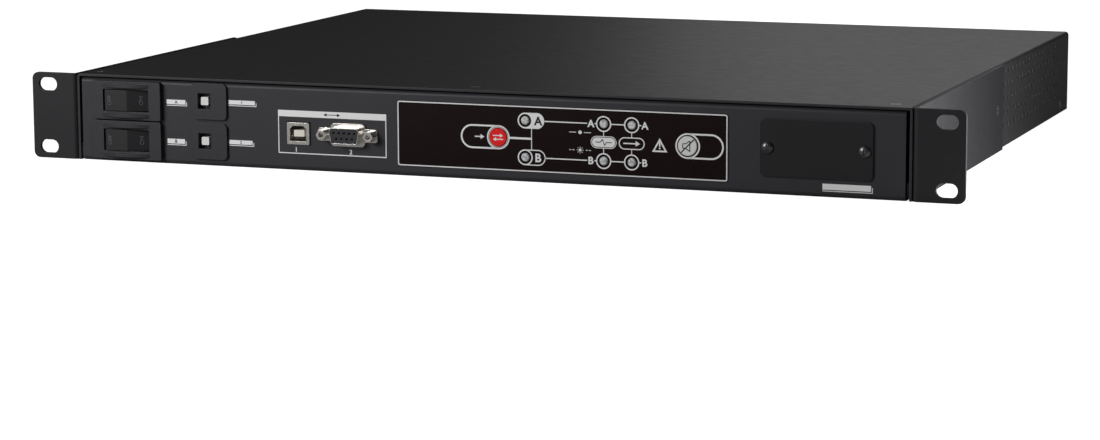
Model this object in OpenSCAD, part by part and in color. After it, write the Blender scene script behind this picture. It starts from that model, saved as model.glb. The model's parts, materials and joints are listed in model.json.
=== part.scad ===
/* [Rack format] */
// Overall width across the mounting ears
rack_w = 482.6; // [478:0.1:490]
// Height of the one-unit body and of its ears
unit_h = 43.6; // [43:0.1:45]
// Distance of the mounting slots' centres from the ear's outer edge
slot_inset = 8.75; // [8:0.05:9.5]
// Distance between the upper and the lower mounting slots
slot_spacing_z = 31.75; // [30:0.05:33]
// End-to-end length of a mounting slot
slot_l = 10.3; // [9:0.1:12]
// Width of a mounting slot
slot_w = 6.8; // [6:0.1:7.4]

/* [Chassis] */
// Width of the cover
cover_w = 432; // [431:0.1:434]
// Depth of the cover, from the ear's front face
cover_d = 362; // [350:1:400]
// Thickness of the folded cover and tray sheet
sheet_t = 1.2; // [1:0.1:1.4]
// Thickness of the front and rear panels
panel_t = 1.5; // [1.2:0.1:1.8]
// Outside radius of the sheet folds
bend_r = 1.9; // [1.9:0.1:2.5]
// Gap between the front panel's side edge and the inside of the cover
panel_side_gap = 1.7; // [1:0.1:2.5]
// Gap between the front panel's top fold and the inside of the cover
panel_top_gap = 0.7; // [0.4:0.1:1]
// How far the rear panel sits inside the cover's rear edge
rear_inset = 1.5; // [1:0.1:4]
// Height of the tray's folded edges
tray_edge_h = 8.5; // [7:0.1:8.8]

/* [Ears] */
// Thickness of the ear bracket
ear_t = 2; // [1.8:0.1:2.4]
// Length of the bracket's leg along the body
ear_leg_l = 185; // [176:1:190]
// Radius of the ear's outer corners
ear_corner_r = 3.3; // [2:0.1:4]
// Depth of the first bracket screw behind the ear's front face
ear_screw_front = 22; // [18:1:30]
// Distance of the last bracket screw from the end of the leg
ear_screw_end = 13; // [8:1:20]

/* [Side vents] */
// Radius of one vent hole
vent_r = 1.6; // [1.2:0.1:2]
// Number of vent columns
vent_cols = 17; // [4:1:17]
// Number of vent rows
vent_rows = 5; // [2:1:5]
// Distance of the last vent column from the cover's rear edge
vent_end_inset = 29.8; // [26:0.1:36]
// Distance between vent rows
vent_pitch_z = 7.1; // [5:0.05:7.2]
// Depth of the first vent column behind the ear's front face
vent_y = 197; // [192:1:205]
// Height of the lowest vent row
vent_z = 10.8; // [10.6:0.1:11.5]

/* [Rocker switches] */
// Width of a switch bezel
switch_w = 38.4; // [36:0.1:40]
// Height of a switch bezel
switch_h = 19.3; // [18.6:0.1:19.6]
// Distance of the switch centres from the cover's left side
switch_inset = 28.7; // [26:0.1:30]
// Height of the upper switch centre
switch_a_z = 31.25; // [31:0.05:31.5]
// Height of the lower switch centre
switch_b_z = 11.2; // [11:0.05:11.4]
// Width of the rocker window
rocker_win_w = 25.4; // [25.2:0.1:27]
// Height of the rocker window
rocker_win_h = 11.1; // [10:0.1:11.5]
// Slope of each rocker half, half of the rocker's travel
rocker_tilt = 10; // [7:0.5:11]
// How far a switch bezel stands out of the panel
switch_proud = 2.6; // [2:0.1:3.5]
// How far the finger guards stand out of a switch bezel
guard_proud = 2.6; // [1.5:0.1:3.5]

/* [Breakers] */
// Width of a breaker bezel
breaker_w = 19.2; // [18:0.1:20.5]
// Height of a breaker bezel
breaker_h = 18.2; // [17:0.1:18.4]
// Distance of the breaker centres from the cover's left side
breaker_inset = 74.3; // [73:0.1:76]
// Height of the upper breaker centre
breaker_1_z = 32.4; // [32.2:0.05:32.5]
// Height of the lower breaker centre
breaker_2_z = 12.4; // [12:0.05:12.8]
// Side of the square reset button
reset_side = 4; // [3:0.1:4.6]
// How far the reset button springs out when the breaker trips
reset_travel = 3.5; // [2:0.1:4]

/* [Ports] */
// Distance of the square port from the cover's left side
usb_inset = 122.55; // [120:0.1:124]
// Height of the square port's centre
usb_z = 18.4; // [18:0.1:19]
// Width of the square port's shell
usb_w = 12; // [11.8:0.1:12.2]
// Height of the square port's shell
usb_h = 10.9; // [10.7:0.1:11.1]
// Distance of the nine-way port from the cover's left side
serial_inset = 149.3; // [147:0.1:152]
// Height of the nine-way port's centre
serial_z = 18.8; // [18:0.1:19]
// Distance between the jackscrews
jack_spacing = 24.99; // [24.9:0.01:25.1]
// Radius of the threaded hole in a jackscrew
jack_hole_r = 1.2; // [1:0.05:1.4]

/* [Display] */
// Width of the display overlay
overlay_w = 168.1; // [160:0.1:175]
// Height of the display overlay
overlay_h = 31.95; // [30:0.05:33]
// Thickness of the display overlay
overlay_t = 0.4; // [0.2:0.05:0.6]
// Offset of the overlay's centre from the middle of the body
overlay_x = 43.55; // [40:0.05:48]
// Height of the overlay's centre
overlay_z = 21.05; // [20:0.05:21.5]
// Radius of the select button
select_r = 4.4; // [3.5:0.1:4.8]
// Radius of the mute button
mute_r = 4.7; // [3.5:0.1:5]
// Travel of the select and mute buttons
button_travel = 0.5; // [0.3:0.05:0.6]
// Radius of an indicator lens
led_r = 2.1; // [1.5:0.1:2.4]

/* [Card slot] */
// Width of the card slot's cover plate
slot_cover_w = 54.6; // [52:0.1:56]
// Height of the card slot's cover plate
slot_cover_h = 27.4; // [26:0.1:29]
// Thickness of the card slot's cover plate
slot_cover_t = 1; // [0.8:0.1:1.5]
// Distance of the cover plate's centre from the cover's right side
slot_cover_inset = 45.5; // [44:0.1:47]
// Height of the cover plate's centre
slot_cover_z = 22.4; // [21.5:0.1:23]
// Distance between the cover plate's screws
slot_screw_spacing = 46.8; // [46.4:0.1:48]

/* [Rear connectors] */
// How far the connector bezels stand out of the rear panel
bezel_proud = 2; // [1.5:0.1:3]
// Distance between the outlets of a bank
outlet_pitch = 24.1; // [24:0.1:24.6]
// Height of an outlet bank's bezel
bank_h = 34.2; // [33.6:0.1:35]
// Height of the outlet centres
outlet_z = 19.1; // [19:0.1:19.6]
// Offset of the four-outlet bank nearer the terminal block
bank_3_x = 81.9; // [81.5:0.1:83]
// Offset of the four-outlet bank nearer the inlets
bank_2_x = -19.85; // [-20.5:0.05:-19.4]
// Distance of the large outlet's centre from the cover's left side
outlet_1_inset = 118.6; // [117:0.1:120]
// Height of the large outlet's centre
outlet_1_z = 21.4; // [21:0.1:21.8]
// Distance of the nearer inlet's centre from the cover's left side
inlet_a_inset = 72.1; // [71.5:0.1:73]
// Distance of the outer inlet's centre from the cover's left side
inlet_b_inset = 30.9; // [30:0.1:32]
// Height of the inlet centres
inlet_z = 20.9; // [20.6:0.1:21.2]
// Depth of an inlet's cavity
inlet_depth = 21; // [18:0.5:24]

/* [Terminal block] */
// Width of the terminal block's header
header_w = 62.4; // [60:0.1:65]
// Height of the terminal block's header
header_h = 17.9; // [17:0.1:19]
// Distance of the terminal block's centre from the cover's right side
terminal_inset = 43.7; // [41:0.1:46]
// Height of the terminal block's centre
terminal_z = 19.5; // [18:0.1:21]
// Number of wire entries
terminal_ways = 8; // [4:1:8]
// Distance between wire entries
terminal_pitch = 5.08; // [4.8:0.01:5.1]
// How far the plug stands out of the rear panel
plug_proud = 7.5; // [6:0.1:9]

/* [Hidden] */
$fn = 48;

// Clearances: between fixed pieces, round a screw's shank, and round a moving piece
fit_gap = 0.1;
screw_gap = 0.15;
moving_gap = 0.3;
// How far a cutter runs past the face it cuts
over = 1;

// Chassis
half_cover = cover_w / 2;
tray_half = half_cover - sheet_t - 0.2;
panel_half = half_cover - sheet_t - panel_side_gap;
panel_top = unit_h - sheet_t - panel_top_gap;
panel_bottom = 0.3;
panel_flange_d = 18;
flange_under = panel_top - panel_t;
cover_front_y = 0.5;
vent_pitch_y = (cover_d - vent_end_inset - vent_y) / (vent_cols - 1);
slot_spacing_x = rack_w - 2 * slot_inset;
ear_screw_y = [ear_screw_front, (ear_screw_front + ear_leg_l - ear_screw_end) / 2, ear_leg_l - ear_screw_end];
rear_face = cover_d - rear_inset;
rear_back = rear_face - panel_t;
rear_flange_d = 14;
rear_top = unit_h - sheet_t - fit_gap;
tray_front_edge_x = -104;
tray_screw_x = [-190, -100, (bank_2_x + bank_3_x) / 2, 135, 205];
tray_screw_y = rear_back - rear_flange_d / 2;

// Screws
m3_r = 1.5;
csk_head_r = 2.65;
csk_head_h = 1.15;
side_screw_z = 4.7;
side_screw_y = cover_d - 20;
side_screw_l = 4;
ear_screw_l = 5;
top_screw_x = [-209, -4, 205];
top_screw_y = 12.2;
top_screw_l = sheet_t + panel_top_gap + panel_t + 0.8;

// Switches
switch_x = -half_cover + switch_inset;
switch_body_w = switch_w - 3.8;
switch_body_h = switch_h - 1.8;
switch_body_d = 27;
rocker_depth = 13;
rocker_pivot_y = 1.5;
rocker_half = rocker_win_w / 2 - 0.8;
rocker_h = rocker_win_h - 2 * moving_gap;
rocker_crest = 5;
trunnion_r = 1.5;
trunnion_l = 1;
tab_w = 6.3;
tab_t = 0.8;
tab_l = 8;

// Breakers
breaker_x = -half_cover + breaker_inset;
breaker_proud = 1.3;
breaker_body_w = breaker_w - 3.2;
breaker_body_h = 15;
breaker_body_d = 30;
reset_x = -2.6;
reset_z = 0.1;
recess_w = reset_side + 3;
recess_h = reset_side + 3.8;
recess_depth = 3;
reset_l = 13;
reset_back = recess_depth + 12;

// Ports
usb_x = -half_cover + usb_inset;
usb_d = 16;
usb_proud = 0.8;
usb_wall = 1.6;
usb_tongue_w = 5.6;
usb_tongue_h = 3.2;
serial_x = -half_cover + serial_inset;
serial_proud = 5.8;
serial_flange_t = 0.8;
serial_wall = 0.4;
serial_w = 16.4;
serial_h = 8;
serial_slant = 10;
jack_af = 4.8;
jack_proud = 5.4;

// Display
select_x = 12.2;
mute_x = 107.9;
button_z = 21.2;
status_led_x = 65.9;
output_led_x = 80;
input_led_x = 26;
led_high_z = 29.9;
led_low_z = 12.1;
led_places = [[input_led_x, led_high_z], [input_led_x, led_low_z],
    [status_led_x, led_high_z], [status_led_x, led_low_z],
    [output_led_x, led_high_z], [output_led_x, led_low_z]];
board_t = 1.6;
display_board_y = panel_t + 7;
display_board_h = 28;
display_board_z = 23.5;
button_proud = 0.9;
button_flange_r = 1.2;
button_flange_y = panel_t + 0.3;
tact_h = 2.6;

// Card slot
slot_x = half_cover - slot_cover_inset;
slot_open_w = 40;
slot_open_h = 20;
slot_cover_r = 2.7;
slot_screw_head_r = 2.8;
slot_screw_head_h = 1.7;
guide_d = 110;
guide_t = 1.2;

// Rear connectors
bezel_back = rear_face + bezel_proud;
c13_open_w = 21.1;
c13_open_h = 30;
c13_core_w = 15.8;
c13_core_h = 23.8;
c13_depth = 17;
bank_body_w = 3 * outlet_pitch + c13_open_w + 2.6;
bank_w = bank_body_w + 2;
bank_body_h = c13_open_h + 2.4;
bank_back_t = 3;
c19_open_w = 35;
c19_open_h = 26;
c19_core_w = 27.9;
c19_core_h = 20.2;
c19_bezel_w = 42.9;
c19_bezel_h = 36;
c19_depth = 20;
c20_open_w = 22.4;
c20_open_h = 29.7;
c20_bezel_w = 28.2;
c20_bezel_h = 35;
c20_wall = 1.4;
blade_t = 2;
blade_h = 8;
blade_l = 17;
blade_pitch = 13;
blade_x_power = 3.8;
blade_x_earth = -4.2;
outlet_1_x = -half_cover + outlet_1_inset;
inlet_a_x = -half_cover + inlet_a_inset;
inlet_b_x = -half_cover + inlet_b_inset;

// Terminal block
terminal_x = half_cover - terminal_inset;
header_proud = 2.6;
header_body_d = 14;
plug_w = terminal_ways * terminal_pitch + 1.3;
plug_h = 15;
plug_depth = 6;
plug_low = terminal_z - header_h / 2 + 2.3;
plug_ledge_y = rear_face + header_proud + 2;
entry_w = 2.9;
entry_h = 3.2;
entry_z = 17.8;
header_hole_r = 2.55;
header_hole_z = 23.9;
flange_screw_r = 1.75;
flange_screw_z = 17.1;
flange_screw_x = plug_w / 2 + flange_screw_r + 0.4;
header_hole_x = header_w / 2 - 5.4;
clamp_screw_r = 1.5;

// Boards and what stands on them
power_board_z = 7.2;
power_x = [-178, 150];
power_y = [140, 300];
control_x = [-30, 120];
control_y = [30, 110];
control_z = 7.2;
comms_x = [usb_x - 13, serial_x + 18];
comms_y = [4, 46];
comms_z = usb_z - usb_h / 2 - fit_gap - board_t;
standoff_af = 5.5;
screw_head_r = 2.6;
screw_head_h = 1.6;
board_screw_r = 1.4;
sink_x = [-70, 50];
sink_y = [165, 285];
sink_foot_t = 5;
sink_h = 27;
sink_fins = 13;
fin_t = 2;
package_w = 16;
package_h = 21;
package_t = 5;
package_first = 12;
package_pitch = 26;
package_lead_pitch = 5.4;
relay_l = 29;
relay_w = 16;
relay_h = 21;
relay_first = [29, 20];
relay_pitch_x = 36;
relay_pitch_y = 29;
capacitor_r = 8;
capacitor_h = 24;
capacitor_rim_h = 1.2;
capacitor_first = [26, 20];
capacitor_pitch_x = 22;
capacitor_pitch_y = 24;
transformer_w = 34;
transformer_l = 42;
transformer_h = 28;
transformer_flange_h = 6;
transformer_inset = [22, 42];
transformer_pitch = 72;
winding_w = 26;
winding_l = 30;
core_leg_w = 10;
core_leg_l = 5;
contact_leaf_t = 0.4;
contact_leaf_l = 14;
contact_tail_l = 8.6;
contact_back = 6;

// Shapes in a plane

// Rectangle with round corners, centred
module round_rect(w, h, r) {
    square([w - 2 * r, h], center = true);
    square([w, h - 2 * r], center = true);
    for (sx = [-1, 1], sz = [-1, 1])
        translate([sx * (w / 2 - r), sz * (h / 2 - r)]) circle(r);
}

// Outline that stands on y = 0 with its two upper corners round
module arch(half_w, top, r) {
    translate([-half_w, 0]) square([2 * half_w, top - r]);
    translate([-half_w + r, 0]) square([2 * (half_w - r), top]);
    for (s = [-1, 1]) translate([s * (half_w - r), top - r]) circle(r);
}

// Outline that starts at x = 0 with its two corners there round
module half_round(d, h, r) {
    translate([r, 0]) square([d - r, h]);
    translate([0, r]) square([r, h - 2 * r]);
    for (z = [r, h - r]) translate([r, z]) circle(r);
}

// Rectangle with two cut corners on its left side
module cut_rect(w, h, cut) {
    polygon([[-w / 2, -h / 2 + cut], [-w / 2 + cut, -h / 2], [w / 2, -h / 2],
        [w / 2, h / 2], [-w / 2 + cut, h / 2], [-w / 2, h / 2 - cut]]);
}

// Rectangle with round right corners and cut left corners
module outlet_outline(w, h, cut, r) {
    intersection() {
        cut_rect(w, h, cut);
        translate([-r, 0]) round_rect(w + 2 * r, h, r);
    }
}

// Slanted outline of a nine-way port, wide side up
module port_outline(w, h, r) {
    lean = h * tan(serial_slant);
    intersection() {
        polygon([[-w / 2, h / 2], [w / 2, h / 2], [w / 2 - lean, -h / 2], [-w / 2 + lean, -h / 2]]);
        round_rect(w, h, r);
    }
}

// Solids from plane shapes

// Draws (x, z) shapes between two depths
module between_y(y0, y1) {
    translate([0, y1, 0]) rotate([90, 0, 0]) linear_extrude(y1 - y0) children();
}

// Draws (x, y) shapes between two heights
module between_z(z0, z1) {
    translate([0, 0, z0]) linear_extrude(z1 - z0) children();
}

// Draws (y, z) shapes between two places across the width
module between_x(x0, x1) {
    translate([x0, 0, 0]) rotate([90, 0, 90]) linear_extrude(x1 - x0) children();
}

// Moves a model built from the ear's front face and the underside to the mounting slots' centre
module placed() {
    translate([0, -ear_t, -unit_h / 2]) children();
}

// Moves a shape to a place on the front or the rear
module at(x, z) {
    translate([x, 0, z]) children();
}

// Countersunk screw whose flat head lies at the origin and whose shank runs to -z
module csk_screw(length, gap = 0) {
    translate([0, 0, -csk_head_h]) cylinder(r1 = m3_r + gap, r2 = csk_head_r + gap, h = csk_head_h);
    translate([0, 0, -length]) cylinder(r = m3_r + gap, h = length - csk_head_h);
    if (gap > 0) cylinder(r = csk_head_r + gap, h = over);
}

// Cross-shaped driver recess in a head at the origin
module cross_recess(size, depth) {
    for (a = [0, 90]) rotate([0, 0, a]) translate([-size / 2, -size / 8, -depth])
        cube([size, size / 4, depth + over]);
}

// Pan-head screw whose head stands on z = 0 and whose shank runs to -z
module pan_screw(head_r, head_h, shank_r, length) {
    difference() {
        intersection() {
            cylinder(r = head_r, h = head_h);
            translate([0, 0, head_h - 1.5 * head_r]) sphere(1.5 * head_r);
        }
        translate([0, 0, head_h]) cross_recess(head_r * 1.1, head_h * 0.6);
    }
    translate([0, 0, -length]) cylinder(r = shank_r, h = length);
}

// Screw positions on the two cover sides and the cover's front edge
module at_side_screws() {
    for (s = [-1, 1]) translate([s * half_cover, side_screw_y, side_screw_z]) rotate([0, s * 90, 0])
        children();
}

module at_top_screws() {
    for (x = top_screw_x) translate([x, top_screw_y, unit_h]) children();
}

module at_ear_screws(side) {
    for (y = ear_screw_y)
        translate([side * (half_cover + ear_t), y, unit_h / 2]) rotate([0, side * 90, 0]) children();
}

// Chassis pieces

module tray_profile() {
    difference() {
        translate([0, tray_edge_h]) mirror([0, 1]) arch(tray_half, tray_edge_h, bend_r);
        translate([0, tray_edge_h + over]) mirror([0, 1])
            arch(tray_half - sheet_t, tray_edge_h + over - sheet_t, bend_r - sheet_t);
    }
}

module base_tray() {
    color("#303033") placed() difference() {
        union() {
            between_y(panel_t, rear_back) tray_profile();
            translate([tray_front_edge_x, panel_t, 0])
                cube([tray_half - 3 - tray_front_edge_x, sheet_t, tray_edge_h]);
        }
        at_side_screws() csk_screw(side_screw_l, screw_gap);
        for (x = tray_screw_x) translate([x, tray_screw_y, 0]) mirror([0, 0, 1]) csk_screw(4, screw_gap);
    }
}

module cover_profile() {
    difference() {
        arch(half_cover, unit_h, bend_r);
        translate([0, -over]) arch(half_cover - sheet_t, unit_h - sheet_t + over, bend_r - sheet_t);
    }
}

module vent_holes() {
    for (col = [0:vent_cols - 1], row = [0:vent_rows - 1])
        translate([-half_cover - over, vent_y + col * vent_pitch_y, vent_z + row * vent_pitch_z])
            rotate([0, 90, 0]) cylinder(r = vent_r, h = cover_w + 2 * over, $fn = 24);
}

module top_cover() {
    color("#2c2c2f") placed() difference() {
        between_y(cover_front_y, cover_d) cover_profile();
        vent_holes();
        at_side_screws() csk_screw(side_screw_l, screw_gap);
        at_top_screws() csk_screw(top_screw_l, screw_gap);
        for (side = [-1, 1]) at_ear_screws(side) csk_screw(ear_screw_l + over, screw_gap);
    }
}

// Panel sheet with its top edge folded back
module front_sheet() {
    between_x(-panel_half, panel_half) translate([0, panel_bottom]) difference() {
        half_round(panel_flange_d, panel_top - panel_bottom, bend_r);
        translate([panel_t, -over])
            half_round(panel_flange_d, panel_top - panel_bottom - panel_t + over, bend_r - panel_t);
    }
}

module front_panel() {
    color("#353539") placed() difference() {
        front_sheet();
        between_y(-over, panel_t + over) {
            for (z = [switch_a_z, switch_b_z])
                translate([switch_x, z])
                    square([switch_body_w + 2 * fit_gap, switch_body_h + 2 * fit_gap], center = true);
            for (z = [breaker_1_z, breaker_2_z])
                translate([breaker_x, z])
                    square([breaker_body_w + 2 * fit_gap, breaker_body_h + 2 * fit_gap], center = true);
            translate([usb_x, usb_z]) square([usb_w + 0.8, usb_h + 0.8], center = true);
            translate([serial_x, serial_z]) square([serial_w + 2.4, serial_h + 1.6], center = true);
            for (s = [-1, 1]) translate([serial_x + s * jack_spacing / 2, serial_z])
                circle(jack_hole_r + 0.5);
            for (p = led_places) translate(p) circle(led_r + 0.5);
            translate([select_x, button_z]) circle(select_r + moving_gap);
            translate([mute_x, button_z]) circle(mute_r + moving_gap);
            translate([slot_x, slot_cover_z]) square([slot_open_w, slot_open_h], center = true);
            for (s = [-1, 1]) translate([slot_x + s * slot_screw_spacing / 2, slot_cover_z])
                circle(m3_r + screw_gap);
        }
        at_top_screws() csk_screw(top_screw_l, screw_gap);
    }
}

// Panel sheet with its top and bottom edges folded inwards
module rear_sheet() {
    between_x(-tray_half + sheet_t + fit_gap, tray_half - sheet_t - fit_gap)
        translate([rear_face, sheet_t]) mirror([1, 0]) difference() {
            half_round(rear_flange_d, rear_top - sheet_t, bend_r);
            translate([panel_t, panel_t])
                half_round(rear_flange_d, rear_top - sheet_t - 2 * panel_t, bend_r - panel_t);
        }
}

module rear_panel() {
    color("#29292c") placed() difference() {
        rear_sheet();
        between_y(rear_back - over, rear_face + over) {
            for (x = [bank_3_x, bank_2_x])
                translate([x, outlet_z])
                    square([bank_body_w + 2 * fit_gap, bank_body_h + 2 * fit_gap], center = true);
            translate([outlet_1_x, outlet_1_z])
                square([c19_open_w + 2.4 + 2 * fit_gap, c19_open_h + 2.4 + 2 * fit_gap], center = true);
            for (x = [inlet_a_x, inlet_b_x]) translate([x, inlet_z])
                square([c20_open_w + 2 * (c20_wall + fit_gap), c20_open_h + 2 * (c20_wall + fit_gap)],
                    center = true);
            translate([terminal_x, terminal_z]) square([plug_w + 3, plug_h + 1], center = true);
            for (s = [-1, 1]) translate([terminal_x + s * header_hole_x, header_hole_z])
                circle(m3_r + screw_gap);
            for (s = [-1, 1])
                translate([terminal_x + s * flange_screw_x, flange_screw_z])
                    circle(flange_screw_r + screw_gap);
        }
        for (x = tray_screw_x) translate([x, tray_screw_y, 0]) mirror([0, 0, 1]) csk_screw(4, screw_gap);
    }
}

// Right-hand ear: a flange and a leg folded from one sheet
module ear_sheet() {
    inner = ear_t + 0.6;
    leg_x = half_cover;
    intersection() {
        between_z(0, unit_h) difference() {
            union() {
                translate([leg_x + inner, 0]) square([rack_w / 2, inner]);
                translate([leg_x, inner]) square([inner, ear_leg_l - inner]);
                translate([leg_x + inner, inner]) circle(inner);
            }
            translate([leg_x + ear_t, ear_t + 0.6]) square([rack_w, ear_leg_l]);
            translate([leg_x + ear_t + 0.6, ear_t]) square([rack_w, ear_leg_l]);
            translate([leg_x + inner, inner]) circle(0.6);
        }
        translate([0, 0, unit_h / 2]) between_y(-over, ear_leg_l + over) {
            translate([rack_w / 4, 0]) round_rect(rack_w / 2, unit_h, ear_corner_r);
            translate([leg_x + inner / 2, 0]) square([inner, unit_h], center = true);
        }
    }
}

module slot_cutter() {
    between_y(-over, ear_t + over) for (s = [-1, 1])
        translate([slot_spacing_x / 2, unit_h / 2 + s * slot_spacing_z / 2])
            round_rect(slot_l, slot_w, slot_w / 2 - 0.001);
}

module ear_bracket(side) {
    color("#2f2f33") placed() difference() {
        mirror([side < 0 ? 1 : 0, 0, 0]) difference() {
            ear_sheet();
            slot_cutter();
        }
        at_ear_screws(side) csk_screw(ear_screw_l, screw_gap);
    }
}

module left_ear_bracket() {
    ear_bracket(-1);
}

module right_ear_bracket() {
    ear_bracket(1);
}

module ear_screws() {
    color("#232326") placed() for (side = [-1, 1]) at_ear_screws(side) difference() {
        csk_screw(ear_screw_l);
        cross_recess(2.8, 0.8);
    }
}

module cover_screws() {
    color("#232326") placed() {
        at_side_screws() difference() {
            csk_screw(side_screw_l);
            cross_recess(2.8, 0.8);
        }
        at_top_screws() difference() {
            csk_screw(top_screw_l);
            cross_recess(2.8, 0.8);
        }
        for (x = tray_screw_x) translate([x, tray_screw_y, 0]) mirror([0, 0, 1]) difference() {
            csk_screw(4);
            cross_recess(2.8, 0.8);
        }
    }
}

// Rocker switches

// Finger guard: a bar whose outer edge is a shallow arc
module finger_guard(z) {
    guard_w = rocker_win_w + 0.8;
    arc_r = (guard_w * guard_w / 4 + guard_proud * guard_proud) / (2 * guard_proud);
    between_z(z - 0.9, z + 0.9) intersection() {
        translate([0, -switch_proud - guard_proud + arc_r]) circle(arc_r, $fn = 120);
        translate([-guard_w / 2, -switch_proud - guard_proud]) square([guard_w, guard_proud + over]);
    }
}

module switch_housing(z) {
    guard_z = rocker_win_h / 2 + 1.9;
    color("#2e2e32") placed() at(switch_x, z) difference() {
        union() {
            between_y(-switch_proud, 0) round_rect(switch_w, switch_h, 1);
            between_y(-over / 2, switch_body_d) square([switch_body_w, switch_body_h], center = true);
            for (s = [-1, 1]) finger_guard(s * guard_z);
        }
        between_y(-switch_proud - over, rocker_depth) square([rocker_win_w, rocker_win_h], center = true);
        translate([0, rocker_pivot_y, -rocker_win_h / 2 - trunnion_l])
            cylinder(r = trunnion_r + 0.06, h = rocker_win_h + 2 * trunnion_l);
        for (x = [-10, 0, 10])
            translate([x, switch_body_d, 0]) cube([tab_w, 6, tab_t], center = true);
    }
}

module switch_a_housing() {
    switch_housing(switch_a_z);
}

module switch_b_housing() {
    switch_housing(switch_b_z);
}

// Rocker, drawn level and then tipped so that its right half is pressed in
module rocker(z) {
    edge_y = -rocker_crest + rocker_half * tan(rocker_tilt);
    color("#26262a") placed() translate([switch_x, rocker_pivot_y, z]) rotate([0, 0, rocker_tilt]) {
        difference() {
            between_z(-rocker_h / 2, rocker_h / 2)
                polygon([[0, -rocker_crest], [rocker_half, edge_y], [rocker_half - 0.6, edge_y + 3.4],
                    [3, 4.5], [1.6, 9.5], [-1.6, 9.5], [-3, 4.5], [-rocker_half + 0.6, edge_y + 3.4],
                    [-rocker_half, edge_y]]);
            for (s = [-1, 1]) translate([s * 7.5, 2.2, 0]) cube([6, 3.4, rocker_h - 2.4], center = true);
        }
        cylinder(r = trunnion_r, h = rocker_h + 2 * (trunnion_l + moving_gap - 0.1), center = true);
    }
}

module switch_a_rocker() {
    rocker(switch_a_z);
}

module switch_b_rocker() {
    rocker(switch_b_z);
}

module switch_terminals() {
    color("#c8c8ca") placed() for (z = [switch_a_z, switch_b_z], x = [-10, 0, 10])
        translate([switch_x + x - tab_w / 2 + fit_gap, switch_body_d - 3, z - tab_t / 2 + fit_gap / 2])
            cube([tab_w - 2 * fit_gap, tab_l + 3, tab_t - fit_gap]);
}

// Breakers

module breaker_body(z) {
    color("#2b2b2e") placed() at(breaker_x, z) difference() {
        union() {
            between_y(-breaker_proud, 0) round_rect(breaker_w, breaker_h, 2.5);
            between_y(-breaker_proud / 2, breaker_body_d)
                square([breaker_body_w, breaker_body_h], center = true);
        }
        between_y(-breaker_proud - over, recess_depth)
            translate([reset_x, reset_z]) square([recess_w, recess_h], center = true);
        between_y(0, reset_back) translate([reset_x, reset_z])
            square(reset_side + 2 * moving_gap, center = true);
        for (s = [-1, 1])
            translate([0, breaker_body_d, s * 4.5]) cube([tab_w, 6, tab_t], center = true);
    }
}

module breaker_1_body() {
    breaker_body(breaker_1_z);
}

module breaker_2_body() {
    breaker_body(breaker_2_z);
}

module breaker_button(z) {
    color("white") placed() at(breaker_x + reset_x, z + reset_z)
        between_y(-0.6, reset_l) round_rect(reset_side, reset_side, 0.5);
}

module breaker_1_button() {
    breaker_button(breaker_1_z);
}

module breaker_2_button() {
    breaker_button(breaker_2_z);
}

module breaker_terminals() {
    color("#c8c8ca") placed() for (z = [breaker_1_z, breaker_2_z], s = [-1, 1])
        translate([breaker_x - tab_w / 2 + fit_gap, breaker_body_d - 3,
            z + s * 4.5 - tab_t / 2 + fit_gap / 2])
            cube([tab_w - 2 * fit_gap, tab_l + 3, tab_t - fit_gap]);
}

// Ports

module usb_cavity_outline() {
    w = usb_w - 2 * usb_wall;
    h = usb_h - 2 * usb_wall;
    cut = 1.6;
    polygon([[-w / 2, -h / 2], [w / 2, -h / 2], [w / 2, h / 2 - cut], [w / 2 - cut, h / 2],
        [-w / 2 + cut, h / 2], [-w / 2, h / 2 - cut]]);
}

module usb_shell() {
    color("#d8d6cf") placed() at(usb_x, usb_z) difference() {
        between_y(-usb_proud, usb_d) round_rect(usb_w, usb_h, 0.6);
        between_y(-usb_proud - over, usb_d - 2) usb_cavity_outline();
    }
}

module usb_tongue() {
    color("#f2f0e6") placed() at(usb_x, usb_z) between_y(0.6, usb_d - 2)
        round_rect(usb_tongue_w, usb_tongue_h, 0.3);
}

module serial_shell() {
    color("#c9c7c2") placed() at(serial_x, serial_z) difference() {
        union() {
            between_y(-serial_flange_t, 0) {
                round_rect(jack_spacing + 6.4, 6.6, 1.2);
                round_rect(serial_w + 2, serial_h + 3.4, 2.2);
            }
            between_y(-serial_proud, 0) port_outline(serial_w, serial_h, 2.2);
        }
        between_y(-serial_proud - over, over)
            port_outline(serial_w - 2 * serial_wall, serial_h - 2 * serial_wall, 1.8);
        for (s = [-1, 1]) translate([s * jack_spacing / 2, 0, 0]) between_y(-2, over)
            circle(jack_hole_r + 0.5);
    }
}

module serial_insulator() {
    pin_pitch = 2.77;
    row_gap = 2.84;
    inner_w = serial_w - 2 * serial_wall - fit_gap;
    inner_h = serial_h - 2 * serial_wall - fit_gap;
    color("#1d1d20") placed() at(serial_x, serial_z) difference() {
        union() {
            between_y(-serial_proud + 0.3, panel_t + 8) port_outline(inner_w, inner_h, 1.7);
            between_y(panel_t, panel_t + 8) square([inner_w + 2, 10.4], center = true);
        }
        between_y(-serial_proud - over, -serial_proud + 4.5) {
            for (i = [-2:2]) translate([i * pin_pitch, row_gap / 2]) circle(0.55, $fn = 16);
            for (i = [-1.5:1.5]) translate([i * pin_pitch, -row_gap / 2]) circle(0.55, $fn = 16);
        }
    }
}

module serial_jackscrews() {
    color("#cfc9bd") placed() for (s = [-1, 1]) at(serial_x + s * jack_spacing / 2, serial_z) difference() {
        union() {
            between_y(-jack_proud, -serial_flange_t) circle(d = jack_af / cos(30), $fn = 6);
            between_y(-serial_flange_t, panel_t + 5) circle(jack_hole_r + 0.35);
        }
        between_y(-jack_proud - over, -jack_proud + 6) circle(jack_hole_r);
    }
}

// Display

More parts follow.
